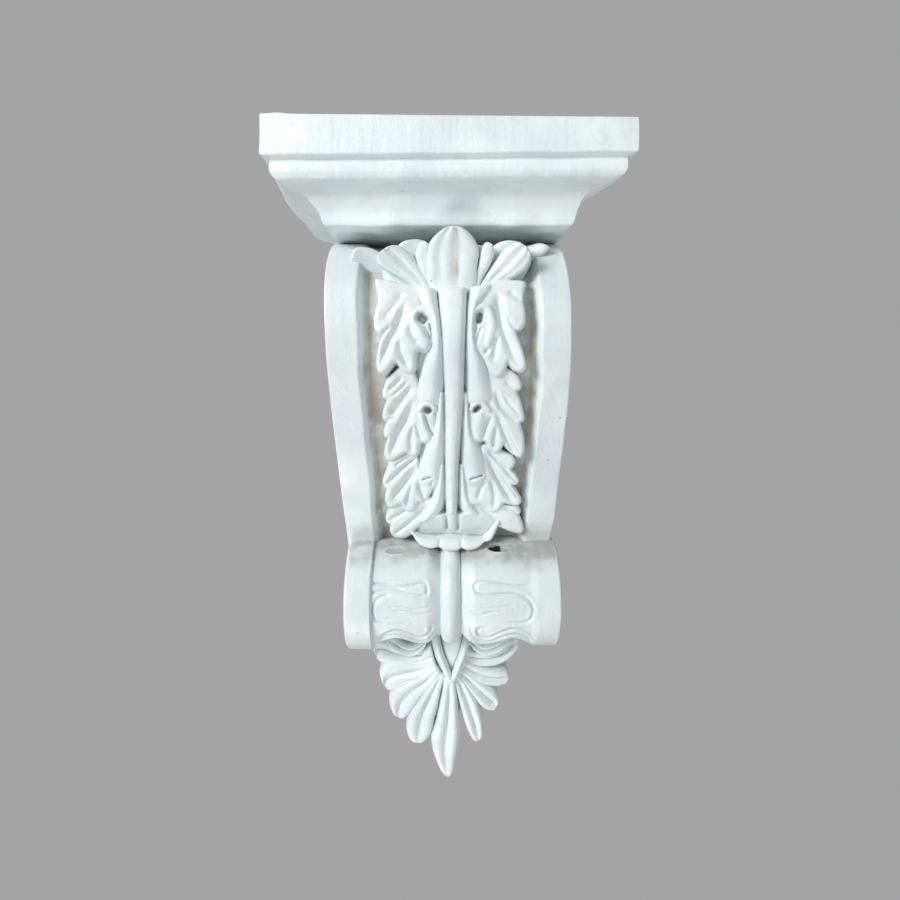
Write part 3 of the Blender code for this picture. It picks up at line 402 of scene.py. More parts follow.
# A tier: its name, the heights of its root and its tips, how far root and tips stand over the straps, its
# outline, and its folds, each a line followed by its width and depth.
TIERS = (
    ("left upper", 86, 8, 3.0, 9.5,
     ((-60, 92), (-57, 76), (-55.5, 67), (-58.5, 57), (-59, 50), (-58, 43.5), (-53.5, 40.5), (-51, 43),
      (-55, 33), (-58, 18), (-57, 11), (-54.5, 9), (-49, 11.5), (-42.5, 20), (-39, 15), (-35, 11),
      (-30, 9.5), (-26.5, 14), (-26.5, 27), (-22, 29), (-17, 27.5), (-13, 32), (-13.5, 40), (-16, 49),
      (-20, 60), (-22, 72), (-22, 92)),
     (((-35.5, 74), (-43, 63.5), (-52.5, 51), 2.4, 1.8),
      ((-33.5, 67.5), (-40, 47.5), (-47.5, 34.5), (-54.5, 17), 2.6, 4.2),
      ((-39.5, 37.5), (-38, 26.5), (-32.5, 14.5), 2.2, 2.8), ((-32, 47.5), (-29, 40), (-24, 33), 1.8, 2.2),
      ((-45, 47), (-49.5, 43), (-53.5, 37.5), 1.4, 2.2))),
    ("right upper", 86, 7, 3.0, 9.5,
     ((28, 92), (40, 92), (63, 92), (62.5, 82), (59, 69), (61.5, 57), (61.5, 49), (58, 44.5), (53.5, 43.5),
      (57, 35), (62, 21), (63.5, 14), (60, 10.5), (53, 13), (48, 20), (47, 13), (43, 7.5), (39, 6.5),
      (34.5, 11), (29, 22), (25.5, 26), (21, 30), (18.5, 38), (18.5, 55), (23, 64), (26, 74)),
     (((39, 75.5), (41, 58), (45, 40.5), (55, 18), 2.6, 4), ((41, 40.5), (38, 31), (37, 20), 2, 2.6),
      ((35.5, 37.5), (33.5, 31), (29.5, 25), 1.5, 2.6), ((46, 55), (50, 48.5), (54.5, 44), 1.5, 1.8),
      ((47.5, 75.5), (53, 71), (58.5, 67.5), 1.6, 1.8), ((27, 46), (24.5, 40), (23, 33.5), 0.8, 1.4))),
    ("left second", 14, -66, 2.0, 9.0,
     ((-38, 16), (-50, 5), (-54.5, -6), (-54, -11), (-50, -11.5), (-54, -20), (-55.5, -27), (-54, -31),
      (-51, -31), (-55, -39), (-54.5, -45), (-51, -46), (-54, -53), (-55.5, -62), (-53, -67), (-49, -66.5),
      (-36, -58.5), (-33, -62), (-28, -63), (-25.5, -60), (-24, -50), (-18, -51), (-13, -49), (-10.5, -42),
      (-10, -31), (-13, -18), (-22, -6), (-27, 8), (-30, 16)),
     (((-37.5, 6.5), (-43, 1.5), (-49, -4), 1.2, 3), ((-33, 3.5), (-39, -3.5), (-45.5, -8.5), 1.3, 2.2),
      ((-29, 0), (-38.5, -12.5), (-48, -25.5), 2.6, 4.2),
      ((-29, -12.5), (-35.5, -30), (-43, -43), (-49.5, -60), 2.8, 4.6),
      ((-29.5, -34), (-32, -46), (-32, -59), 1.6, 2.4),
      ((-28, -33.5), (-25.5, -40.5), (-23, -47), 1.4, 1.8),
      ((-44, -28), (-48.5, -29), (-53.5, -30.5), 1.2, 1.6))),
    ("right second", 14, -66, 2.0, 9.0,
     ((38, 16), (50, 13), (57, 8), (61, 1), (60.5, -3.5), (57, -5), (61, -13), (65.5, -28), (64.5, -31.5),
      (61.5, -31.5), (66, -44), (67.5, -57), (65, -64.5), (60.5, -62.5), (52.5, -56), (49, -50),
      (47, -56.5), (42.5, -60), (38, -56.5), (33, -48), (25, -49.5), (17, -48), (14.5, -40), (15.5, -28),
      (20, -17), (28, -8), (30, 8), (33, 16)),
     (((39, -4), (43.5, -16), (51, -25.5), (60.5, -31.5), 1.7, 2.8),
      ((40.5, -21), (47.5, -38.5), (53.5, -51.5), (59.5, -60.5), 1.9, 3.2),
      ((37.5, -27), (33, -37), (30, -47), 1.6, 3.2), ((42, -35), (41, -46), (40.5, -56), 1.6, 3),
      ((48, -33.5), (55, -46), (63, -59), 0.9, 1.1), ((45.5, -7.5), (54, -18.5), (62, -27), 0.9, 1.1),
      ((46.5, 4), (53, -2.5), (59, -6.5), 1.4, 1.8))),
    ("left third", -56, -118, 2.0, 8.5,
     ((-38, -54), (-50, -65), (-53, -74), (-58.5, -87), (-57.5, -93), (-54.5, -94.5), (-57.5, -106),
      (-55, -113.5), (-50, -114), (-42.5, -109.5), (-39, -117), (-34, -118), (-30, -116), (-28, -108.5),
      (-23, -108), (-18.5, -105.5), (-15, -98), (-12, -90), (-15, -84), (-24, -77), (-27, -64), (-30, -54)),
     (((-25, -62.5), (-38, -73), (-55, -90), 1.5, 3.6), ((-33, -59), (-40, -61.5), (-48.5, -66.5), 1, 2.4),
      ((-30.5, -62.5), (-38.5, -66.5), (-46.5, -72), 1, 2),
      ((-28, -74), (-38.5, -90), (-50, -105), 2.6, 4.4),
      ((-32, -86), (-35, -100), (-37.5, -112.5), 1.6, 2.2),
      ((-26.5, -88), (-24, -98), (-20.5, -107), 1.5, 2.6))),
    ("right third", -54, -119, 2.0, 8.5,
     ((34, -52), (50, -59), (59, -64), (61, -69), (59, -74), (56, -76), (62, -81), (65.5, -88), (62.5, -91),
      (58, -90.5), (64, -99), (69, -107), (67, -111.5), (62, -111.5), (52, -109), (50.5, -113),
      (46, -118.5), (41, -119), (36, -114), (30, -111), (22, -111), (16, -106), (13.5, -97), (16.5, -87),
      (26, -80), (29, -66), (29, -54)),
     (((35.5, -57), (44, -67.5), (55, -77), 1.4, 2.4),
      ((34, -60.5), (43, -80), (51.5, -95), (61, -109), 1.9, 3.6),
      ((34, -87), (30.5, -95), (28.5, -104), 1.5, 2.8), ((38.5, -85), (43, -98), (43.5, -113.5), 1.6, 2.6),
      ((45.5, -78), (55, -91), (66, -105), 0.9, 1.2), ((46.5, -68.5), (54.5, -79), (64, -89), 1.2, 1.8))),
    ("left foot", -106, -148, 2.0, 7.5,
     ((-36, -104), (-55, -118), (-58, -127), (-56.5, -131.5), (-53, -132.5), (-54.5, -140), (-51, -146.5),
      (-45, -148), (-39, -147), (-34, -143.5), (-27, -135), (-14, -122), (-3, -112), (-6, -104)),
     (((-32, -113.5), (-43, -121), (-55.5, -128.5), 1.5, 2.6),
      ((-18.5, -113.5), (-34, -129.5), (-49.5, -142.5), 1.7, 3),
      ((-9.5, -106), (-12, -114.5), (-15, -124), 1.2, 1.2))),
    ("right foot", -106, -143, 2.0, 7.5,
     ((34, -104), (55, -113), (66, -113.5), (69.5, -119), (67.5, -122.5), (71, -130), (73.5, -138.5),
      (70.5, -142.5), (63, -141), (46, -133.5), (32, -127), (16, -116), (12, -106)),
     (((30.5, -114.5), (43, -125), (56, -136), 1.5, 2),
      ((52, -115.5), (61.5, -118.5), (69.5, -124), 1.3, 1.8))),
)
# A ridge: its line, its half widths along that line, its top over the straps and its crown.
RIDGES = (
    (((-18, 79), (-14.5, 65), (-9.5, 50), (-8, 32), (-11.5, 12), (-15, -9)), (7, 5.6, 3.8, 4.8, 8.4, 10),
     8.6, 4.2),
    (((-28, 53.5), (-25, 58), (-19.5, 60), (-13.5, 56.5)), (2.6, 3, 3, 3), 7.8, 3),
    (((-27.5, 50), (-23.5, 44), (-18, 33.5)), (3, 4, 4.4), 8.2, 3),
    (((-5.2, -7), (-6, -24.5), (-6.5, -35), (-9, -49.5), (-13, -66.5), (-15, -84)),
     (1.6, 2.6, 3.6, 7, 9.4, 10.4), 8, 4),
    (((-23.5, -21), (-20, -17), (-15, -16.5), (-11.5, -19.5)), (2.5, 2.5, 2.5, 2.5), 7.8, 3),
    (((-22.5, -26.5), (-20.5, -36), (-17, -45)), (3, 3.6, 3.6), 7.4, 3),
    (((-4.6, -72), (-5.5, -88), (-7.5, -102), (-11.5, -114.5), (-20, -127.5)), (1.6, 3, 4.4, 5.5, 5), 7.4,
     3.6),
    (((27, 79), (20.5, 65), (18, 50), (19, 32), (23.5, 12), (26.5, -9)), (7.5, 4.6, 3.2, 4.4, 7.6, 10), 8.6,
     4.2),
    (((21, 53.5), (23.5, 60), (28.5, 62.5), (33, 59), (35, 47), (32, 33)), (2.4, 2.8, 3, 3.4, 4.6, 4.4),
     7.8, 3),
    (((14.4, -7), (15.5, -25.5), (16.5, -37), (19.5, -50.5), (22.5, -66.5), (25, -83)),
     (1.6, 2.4, 3.4, 6, 9.2, 10.6), 8, 4),
    (((21, -20), (23, -17), (28.5, -15.5), (34.5, -21)), (2.5, 2.5, 2.5, 2.5), 7.8, 3),
    (((27.5, -26.5), (26, -36), (26, -44)), (5, 6, 5.5), 6.8, 2.4),
    (((12.6, -72), (14, -88), (15.5, -102), (19.5, -114.5), (27, -125)), (1.6, 2.6, 3.8, 5.5, 5), 7.4, 3.6),
)
# An eye: its line, its radius and its depth.
EYES = (
    (((-22.5, 54.5), (-20, 52.5)), 3.7, 8), (((-19.5, 50), (-14.5, 37.5)), 1.2, 3),
    (((25, 56), (24.5, 52.5)), 3.4, 7.5), (((23, 50), (22, 43)), 1, 2),
    (((-18, -21), (-16.5, -21.5)), 3.2, 8), (((-19.5, -26.5), (-16, -37), (-12, -44)), 1.2, 2.8),
    (((23.5, -21), (26, -18.5)), 2.6, 7.5), (((-21.5, -85.5), (-15.5, -83.5)), 1.5, 4.5),
    (((-14, -87), (-15, -91)), 1.4, 3), (((21.5, -85), (31, -81.5)), 1.4, 4.5),
)
FOOT_BOWL = (
    (-31.5, -145), (-28.5, -137), (-22, -128.5), (-10.5, -122), (2.5, -120), (21.5, -120), (36.5, -123),
    (49, -129.5), (48, -140.5), (40.5, -150.5), (3, -152.5), (-26, -150.5),
)
FOOT_LIP = (
    (-34, -140.5), (-29.5, -147), (-23, -152.5), (-15, -154.5), (-9.5, -153.5), (-6.5, -154), (-1, -157),
    (8.5, -157), (12, -155), (15, -154.5), (20.5, -156.5), (27.5, -155), (34, -150), (40.5, -141.5),
    (45, -133.5), (49, -128), (46.5, -140), (41.5, -148), (31.5, -148.5), (14.5, -147), (3, -146),
    (-8.5, -147), (-21, -146.5),
)
LIP_NOTCHES = (((-6.5, -146.5), (-8, -156.5)), ((13.5, -146.5), (14, -157.5)))
BOWL_TOP, BOWL_RIM, BOWL_FROM, BOWL_TO = -119.0, -144.0, 7.5, 0.5
LIP_RISE, LIP_CURL, LIP_ROUND, LIP_FALL, LIP_MARGIN = 7.5, 13.5, 3.4, 40.0, 0.8
LIP_UP, LIP_DOWN, NOTCH_WIDE, NOTCH_DEEP = -138.0, -157.0, 1.6, 2.4
# The grey stands for painted shade, with dust in the hollows, on the leaf and the roll. The leaf's low
# pockets, eyes and the hollow over its foot lip get painted shade, that hollow some dirt too.
DUST_AND_SHADE_GREY, LOW_SHADE, EYE_SHADE, BOWL_SHADE_AND_DIRT = (0.40, 0.415, 0.40), 0.3, 0.5, 0.6


def nearness(across, up, line):
    """The distance of each point from a bent line, and the share of the line's points where it is nearest."""
    best, share = np.full(np.shape(across), np.inf), np.zeros(np.shape(across))
    for k in range(len(line) - 1):
        (x0, z0), (x1, z1) = line[k], line[k + 1]
        dx, dz = x1 - x0, z1 - z0
        f = np.clip(((across - x0) * dx + (up - z0) * dz) / (dx * dx + dz * dz + 1e-12), 0.0, 1.0)
        gap = np.hypot(across - x0 - f * dx, up - z0 - f * dz)
        share = np.where(gap < best, (k + f) / (len(line) - 1), share)
        best = np.minimum(best, gap)
    return best, share


def eased(outline):
    """A closed outline with each corner cut twice at a fifth of its sides."""
    points = np.asarray(outline, float)
    for _ in range(2):
        after = np.roll(points, -1, axis=0)
        points = np.stack([0.8 * points + 0.2 * after, 0.2 * points + 0.8 * after], axis=1).reshape(-1, 2)
    return points


def inside(across, up, outline):
    """How far each point lies inside an eased outline, below zero outside it, by counting edges crossed."""
    outline = eased(outline)
    closed = np.concatenate([outline, outline[:1]])
    gap, _ = nearness(across, up, closed)
    within = np.zeros(np.shape(across), bool)
    for (x0, z0), (x1, z1) in zip(closed[:-1], closed[1:]):
        if z0 != z1:
            within ^= ((z0 > up) != (z1 > up)) & (across < x0 + (up - z0) * (x1 - x0) / (z1 - z0))
    return np.where(within, gap, -gap)


def rounded(within, size):
    """How far a surface drops near its outline: a quarter circle of the size, from the outline inwards."""
    return size * (1.0 - np.sqrt(1.0 - (1.0 - np.clip(within / size, 0.0, 1.0)) ** 2))


def fold(across, up, points, width, depth):
    """The depth of one fold: full along a smooth line and falling to nothing over its width each side, as
    one less the gap's share of the width, to a power, so two round sides meet in a sharp floor. It fades in
    at its start and out at its end."""
    gap, share = nearness(across, up, through(points, 13))
    side = np.clip(1.0 - gap / (FOLD_WIDER * width), 0.0, 1.0) ** FOLD_POWER
    return FOLD_DEEPER * depth * side * smooth(-0.05, 0.25, share) * smooth(1.12, 0.82, share)


def tier_height(across, up, tier):
    """One tier over the straps' face: it lifts from its root to its tips, is rounded over at its outline,
    falls steeply outside it, and has its folds sunk in it."""
    _, top, foot, root_rise, tip_rise, outline, folds = tier
    within = inside(across, up, outline) + 0.5
    downwards = np.clip((top - up) / (top - foot), 0.0, 1.0)
    sideways = np.clip((np.abs(across - LEAF_MIDDLE) - SPREAD_FROM) / SPREAD_RUN, 0.0, 1.0)
    height = root_rise + (tip_rise - root_rise) * (0.65 * downwards + 0.35 * sideways)
    height = height - rounded(within, TIP_ROUND) - TIP_FALL * smooth(0.0, -TIP_RUN, within)
    sunk = 0.0 * across
    for *points, width, depth in folds:
        sunk = np.maximum(sunk, fold(across, up, points, width, depth))
    return height - sunk


def ridge_height(across, up, ridge):
    """A rounded ridge along a smooth line: its top less its crown times the squared share of its half width,
    and steeper past its edge."""
    points, widths, top, crown = ridge
    gap, share = nearness(across, up, through(points, 6 * len(points)))
    width = np.interp(share, np.linspace(0.0, 1.0, len(widths)), widths)
    return top - crown * np.clip(gap / width, 0.0, 1.0) ** 2 - RIDGE_FALL * np.clip(gap - width, 0.0, None)


def lip_height(across, up):
    """The scalloped lip over the straps' face: it curls outwards as it falls, is rounded over at its outline,
    drops steeply outside it, and is notched between its scallops."""
    within = inside(across, up, FOOT_LIP) + LIP_MARGIN
    height = LIP_RISE + LIP_CURL * smooth(LIP_UP, LIP_DOWN, up) - rounded(within, LIP_ROUND)
    for notch in LIP_NOTCHES:
        gap, _ = nearness(across, up, notch)
        height = height - NOTCH_DEEP * np.exp(-(gap / NOTCH_WIDE) ** 1.3)
    return height - LIP_FALL * smooth(0.0, -3.0, within)


def soft_max(first, second, ease):
    """The higher of two heights, rounded where they meet: ease times the log of the sum of exponentials."""
    return ease * np.logaddexp(first / ease, second / ease)


def along_height(up, marks):
    """A place across at each height, straight between the marks, which run downwards."""
    return np.interp(-up, [-height for height, _ in marks], [place for _, place in marks])


across = np.arange(LEAF_LEFT, LEAF_RIGHT + LEAF_STEP, LEAF_STEP)[None, :]
up = np.arange(LEAF_TOP, LEAF_FOOT - LEAF_STEP, -LEAF_STEP)[:, None]
across, up = across + 0 * up, up + 0 * across
height = BLADE_RISE - TIP_FALL * smooth(0.0, -6.0, inside(across, up, LEAF_BLADE))
for tier in TIERS:
    height = soft_max(height, tier_height(across, up, tier), TIER_EASE)
for ridge in RIDGES:
    height = soft_max(height, ridge_height(across, up, ridge), RIDGE_EASE)
drilled = 0.0 * across
for points, radius, depth in EYES:
    gap, _ = nearness(across, up, points)
    height = height - depth * smooth(radius + 1.0, radius - 2.0, gap)
    drilled = np.maximum(drilled, smooth(radius + 0.6, radius - 1.2, gap) * depth / 8.0)
stem_left, stem_right = along_height(up, STEM_LEFT), along_height(up, STEM_RIGHT)
middle, half = (stem_left + stem_right) / 2, (stem_right - stem_left) / 2
on_stem = smooth(half + 1.0, half - 1.0, np.abs(across - middle))
stem = STEM_RISE - STEM_CROWN * ((across - middle) / half) ** 2
height = height * (1 - on_stem) + on_stem * stem
off = np.minimum(np.abs(across - stem_left), np.abs(across - stem_right))
deep = np.where(across > middle, GROOVE_RIGHT, GROOVE_LEFT + GROOVE_GAIN * smooth(60.0, -60.0, up))
groove = deep * np.exp(-(off / GROOVE_WIDE) ** 1.6)
height = height - groove * smooth(-139.0, -134.0, up)
bowl = smooth(-1.5, 2.0, inside(across, up, FOOT_BOWL))
sweep = np.clip((BOWL_TOP - up) / (BOWL_TOP - BOWL_RIM), 0.0, 1.0) ** 0.9
dish = BOWL_FROM + (BOWL_TO - BOWL_FROM) * sweep - 0.9 * groove * smooth(-143.0, -136.0, up)
height = height * (1 - bowl) + bowl * dish
lip = lip_height(across, up)
dished = bowl * smooth(1.5, -1.0, lip - height)
height = soft_max(height, lip, LIP_EASE)
crest = np.interp(across, [place for place, _ in LEAF_CREST], [top for _, top in LEAF_CREST])
over = up - crest - 0.6 * wander(across, 0 * up, 30.0, 21)
height = height - 1.5 * smooth(-3.0, 0.0, over) ** 2 - TIP_FALL * smooth(0.0, 2.8, over)
height = height + 0.25 * wander(across, up, 16.0, 22) + 0.3 * wander(across, up, 34.0, 23)
height = np.maximum(height, LEAF_BED)
behind = across[:, ::-1][:, ::6]
ring_across = np.concatenate([across, behind], axis=1)
ring_out = np.concatenate([face_out(up) + height, face_out(up[:, :1]) + LEAF_BACK + 0 * behind], axis=1)
ring_up = np.concatenate([up, up[:, :1] + 0 * behind], axis=1)
# Painted shade in the low pockets, in the drilled eyes and in the hollow over the foot lip, which also holds
# some dirt.
shade_and_grime = LOW_SHADE * smooth(0.0, -9.0, height) + EYE_SHADE * drilled + BOWL_SHADE_AND_DIRT * dished
shade_and_grime = np.concatenate([shade_and_grime, 0 * behind], axis=1)
leaf = cast("leaf", [placed(ring_across, ring_out, ring_up)], [shade_and_grime], 8)
leaf.data.materials.append(painted_plaster("leaf_paint", SHADED_WHITE, DUST_AND_SHADE_GREY, 0.42, 0.25))
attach(leaf, "root")
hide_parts("corbel")


# Fan: leaf tips that rise out of the crease over the leaf and lean forward under the cornice. Each was a
# separate hollow in the mould, a thick petal with grooves down its front; those behind are half hidden.
# A petal: its left and right edges from root to tip, how far its root and tip stand out, its thickness, and
# its grooves, each a place from -1 to 1 across it and a depth.
FAN_ROWS, PETAL_POINTS, GROOVE_SPREAD = 34, 48, 0.22
FAN = (
    (((-14, 74), (-17, 84), (-17.5, 96), (-17.5, 108), (-12, 116.5), (-4, 122), (3, 124)),
     ((20, 74), (23, 84), (23.5, 96), (24.5, 107), (20.5, 115.5), (13, 121.5), (3, 124)), 138.0, 159.0,
     15.0, ((-0.48, 3.2), (0.2, 4.6))),
    (((-15, 75), (-22, 88), (-25.5, 99), (-26, 106), (-23.5, 112), (-20, 115)),
     ((-7, 75), (-10, 88), (-12, 98), (-13, 107), (-15, 112), (-20, 115)), 136.0, 151.0, 13.0,
     ((0.0, 0.4),)),
    (((-22, 74), (-34, 83), (-46, 90), (-55, 95), (-57, 101), (-51, 108)),
     ((-10, 75), (-18, 88), (-25, 99), (-32, 107), (-41, 111), (-51, 108)), 136.0, 152.0, 15.0,
     ((0.15, 3.2), (-0.5, 1.2))),
    (((17, 75), (21, 88), (24.5, 99), (26, 107), (28.5, 112.5), (32, 113)),
     ((24, 75), (28, 86), (33, 95), (36.5, 104), (36, 110.5), (32, 113)), 136.0, 152.0, 13.0, ()),
    (((22, 75), (30, 88), (37, 99), (44, 108), (53, 113.5), (61, 111)),
     ((30, 74), (42, 81), (54, 87), (63, 94), (66, 102), (61, 111)), 136.0, 151.0, 15.0,
     ((-0.1, 3.6), (0.55, 1.4))),
    (((-34, 80), (-43, 94), (-44, 106), (-40, 115), (-28, 118.5)),
     ((-8, 80), (-8, 98), (-11, 110), (-18, 117), (-28, 118.5)), 130.0, 139.0, 13.0, ()),
    (((22, 80), (28, 96), (32, 108), (40, 116), (52, 118)),
     ((56, 80), (66, 94), (69, 104), (65, 113), (52, 118)), 128.0, 138.0, 13.0, ()),
    (((-36, 86), (-56, 92), (-72, 96), (-80.5, 103), (-80, 110)),
     ((-36, 102), (-52, 110), (-64, 115), (-75, 115), (-80, 110)), 118.0, 129.0, 14.0, ((0.2, 1.2),)),
    (((40, 90), (58, 98), (70, 104), (80, 109), (86, 115)),
     ((36, 106), (52, 114), (68, 118), (78, 119), (86, 115)), 114.0, 127.0, 12.0, ()),
    (((-44, 70), (-54, 88), (-52, 102), (-34, 112), (4, 117)),
     ((48, 70), (60, 88), (60, 102), (40, 112), (4, 117)), 128.0, 136.0, 16.0, ()),
)


def petal(left, right, out_from, out_to, thick, grooves, rows):
    """A petal between two edge lines that meet at its tip. Round each ring runs an angle: its cosine goes
    from edge to edge and its sine through the thickness, flattened to the power 0.7, with grooves sunk at
    their places across the front. The depth eases from the root's to the tip's."""
    share = np.linspace(0.0, 1.0, rows)[:, None]
    left, right = through(left, rows), through(right, rows)
    close = 0.5 - 0.5 * np.cos(np.pi * share)
    angle = np.linspace(0.0, 2 * np.pi, PETAL_POINTS, endpoint=False)[None, :]
    side = np.sign(np.cos(angle)) * np.abs(np.cos(angle)) ** 0.8
    middle, half = (left + right) / 2, (right - left) / 2
    across = middle[:, :1] + half[:, :1] * side
    up = middle[:, 1:] + half[:, 1:] * side
    width = np.hypot(half[:, :1], half[:, 1:])
    full = np.minimum(1.0, width / (0.5 * thick)) ** 0.6
    through_it = np.sign(np.sin(angle)) * np.abs(np.sin(angle)) ** 0.7
    fade = smooth(0.02, 0.3, share) * smooth(1.0, 0.8, share)
    sunk = sum(depth * np.exp(-(np.abs(side - place) / GROOVE_SPREAD) ** 1.3) for place, depth in grooves)
    out = out_from + (out_to - out_from) * close + 0.5 * thick * full * through_it
    return placed(across, out - sunk * fade * (through_it > 0), up)


fan = cast("fan", [petal(*tip, FAN_ROWS) for tip in FAN], None, 5)
fan.data.materials.append(painted_plaster("fan_paint", SHADED_WHITE, DIRT_AND_SHADE, 0.28, 0.4))
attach(fan, "root")
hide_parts("corbel")


# Roll: the bolster across the foot of the body, with plain bands at its ends and water-worn scroll lines
# carved round its front. Two blind sockets are sunk in its top, and small raised bosses finish its ends.
ROLL_RADIUS, ROLL_OUT, ROLL_UP, ROLL_LEFT, ROLL_RIGHT = 52.3, 35.5, -202.5, -94.5, 104.7
BAND_LEFT, BAND_RIGHT, BAND_STEP, LEFT_PROUD, PROUD_BELOW = -69.5, 79.0, 2.4, 1.2, 2.2
ROLL_MIDDLE, THROAT_HALF, THROAT_DROP, BARREL = 3.3, 23.0, 15.0, 1.2
ROLL_STEPS, ROLL_TURNS, TURN_CROWD, CUT_DEEP, ROLL_GAP = 230, 300, 0.175, 12.0, 0.6
END_OUT, END_RADII = np.array([4.0, 4.0, 3.2, 0.0]), np.array([12.0, 27.0, 30.0, 31.0])
# A socket: its middle across and round the roll, and its half sizes in millimetres.
RIGHT_SOCKET, LEFT_SOCKET = (50.0, 1.10, 11.0, 5.0), (-49.0, 1.05, 9.8, 3.6)
SHELF_DEEP, HOLE_DEEP, LEFT_DEEP = 2.5, 4.0, 1.8
# How much painted shade the roll's top, the sockets and the depth of the right socket get.
TOP_SHADE, SOCKET_SHADE, HOLE_SHADE, LEFT_SOCKET_SHADE = 1.5, 3.2, 6.0, 3.4
# A scroll line as the front view shows it, with its width and depth, and the edges where the front ends.
SCROLLS = (
    (((-72, -181), (-60, -182.5), (-45, -184), (-32, -183), (-24, -181), (-19, -183), (-18.5, -189),
      (-20, -192)),
     1.3, 1.8),
    (((-72, -190), (-60, -187.5), (-48, -187), (-36, -190), (-26, -191.5), (-20, -191)), 1.3, 1.6),
    (((-52, -190), (-62, -194), (-68, -202), (-68, -211), (-64, -217), (-58, -219)), 1.4, 1.5),
    (((-54, -202), (-40, -202), (-28, -204), (-15, -202)), 1.0, 1.2),
    (((-50, -206), (-38, -206), (-28, -209), (-15, -208)), 1.0, 1.2),
    (((-56, -220), (-40, -219), (-28, -222), (-19, -225)), 1.2, 0.9),
    (((-64, -238), (-55, -230), (-46, -227), (-36, -231), (-26, -236), (-19, -234), (-15, -228),
      (-15.5, -223)),
     1.4, 2.0),
    (((-66, -244), (-57, -235), (-47, -231.5), (-37, -235.5), (-27, -241), (-18, -240), (-12.5, -233)), 1.3,
     1.8),
    (((80, -183), (66, -183.5), (50, -182), (38, -180.5), (29, -180), (25, -184), (27, -189), (36, -191),
      (50, -190), (62, -190), (72, -194), (78, -202), (78, -210), (73, -216), (62, -217), (52, -215)),
     1.3, 1.8),
    (((19, -201), (32, -202.5), (45, -202), (60, -200)), 1.0, 1.2),
    (((20, -206), (28, -209), (38, -207), (50, -205)), 1.0, 1.2),
    (((33, -206), (37, -206.5), (41, -206)), 1.6, 1.0),
    (((36, -225), (31, -222.5), (27.5, -226), (30, -232), (37, -234), (45, -230), (54, -225), (64, -224),
      (74, -229), (84, -238)),
     1.3, 1.9),
    (((20, -224), (24, -234), (32, -240), (42, -238), (52, -232), (62, -230), (72, -234), (80, -242)), 1.4,
     1.9),
)
CUT_BACK = (
    ((-72, -254), (-66, -249), (-57, -240), (-47, -236), (-37, -240), (-27, -246), (-17, -246), (-11, -239)),
    ((14, -238), (22, -243), (32, -245.5), (42, -243.5), (52, -238.5), (62, -236), (72, -240), (82, -250)),
)


def roll_radius(across, turn):
    """The roll's radius at a place along it and an angle round it: plain ends, a step down to the carved
    part, a quarter-round fall into the throat, and the scroll lines sunk where the front view draws them."""
    up = ROLL_RADIUS * np.sin(turn) + ROLL_UP
    from_middle = np.abs(across - ROLL_MIDDLE)
    carved = smooth(BAND_LEFT - 1.2, BAND_LEFT + 0.6, across)
    carved = carved * smooth(BAND_RIGHT + 5.0, BAND_RIGHT - 3.0, across)
    radius = ROLL_RADIUS - np.where(across < 0, BAND_STEP, 0.4 * BAND_STEP) * carved
    proud = LEFT_PROUD + PROUD_BELOW * smooth(0.2, -0.9, turn)
    radius = radius + proud * smooth(BAND_LEFT, BAND_LEFT - 1.5, across)
    radius = radius + BARREL * carved * np.cos(np.clip((from_middle - 42.0) / 28.0, -1, 1) * np.pi / 2)
    radius = radius - THROAT_DROP * np.clip(1.0 - from_middle / THROAT_HALF, 0.0, 1.0) ** 1.6
    front = (np.cos(turn) > 0) * smooth(BAND_LEFT - 0.6, BAND_LEFT + 1.0, across)
    front = front * smooth(BAND_RIGHT + 8, BAND_RIGHT, across)
    for points, width, depth in SCROLLS:
        gap, share = nearness(across, up, through(points, 5 * len(points)))
        ends = smooth(-0.02, 0.08, share) * smooth(1.02, 0.92, share) * front * depth
        radius = radius - ends * np.exp(-(gap / (0.95 * width)) ** 1.5)
        radius = radius + 0.22 * ends * np.exp(-((gap - 2.3 * width) / (1.2 * width)) ** 2)
    for points in CUT_BACK:
        line = through(points, 60)
        first, last = line[0, 0], line[-1, 0]
        edge = np.interp(across, line[:, 0], line[:, 1])
        reach = smooth(first - 1, first + 1, across) * smooth(last + 4, last - 2, across)
        radius = radius - CUT_DEEP * reach * smooth(0.0, 2.4, edge - up) * (np.cos(turn) > 0)
    return radius + 0.35 * wander(across, ROLL_RADIUS * turn, 50.0, 31)


def socket_gap(across, turn, socket):
    """A point's distance from a socket's middle as a share of its oval: below one inside it."""
    middle, at, long, wide = socket
    return np.hypot((across - middle) / long, ROLL_RADIUS * (turn - at) / wide)


along = np.linspace(ROLL_LEFT, ROLL_RIGHT, ROLL_STEPS)
along = np.concatenate([ROLL_LEFT - END_OUT, along, ROLL_RIGHT + END_OUT[::-1]])
turn = np.linspace(-np.pi, np.pi, ROLL_TURNS, endpoint=False)
turn = turn - TURN_CROWD * np.sin(2 * turn)
across, turn = along[:, None] + 0 * turn[None, :], turn[None, :] + 0 * along[:, None]
right_gap, left_gap = socket_gap(across, turn, RIGHT_SOCKET), socket_gap(across, turn, LEFT_SOCKET)
hole = smooth(52.5, 50.0, across)
socket = (SHELF_DEEP + HOLE_DEEP * hole) * smooth(1.08, 0.6, right_gap)
radius = roll_radius(across, turn) - np.maximum(socket, LEFT_DEEP * smooth(1.05, 0.6, left_gap))
edge = np.minimum(across - ROLL_LEFT, ROLL_RIGHT - across)
radius = np.where(edge >= 0, radius - 1.8 * smooth(2.2, 0.0, edge) ** 2, radius)
radius[:len(END_RADII)] = END_RADII[:, None]
radius[-len(END_RADII):] = END_RADII[::-1, None]
out = np.clip(ROLL_OUT + radius * np.cos(turn), ROLL_GAP, None)
lift = ROLL_UP + radius * np.sin(turn)
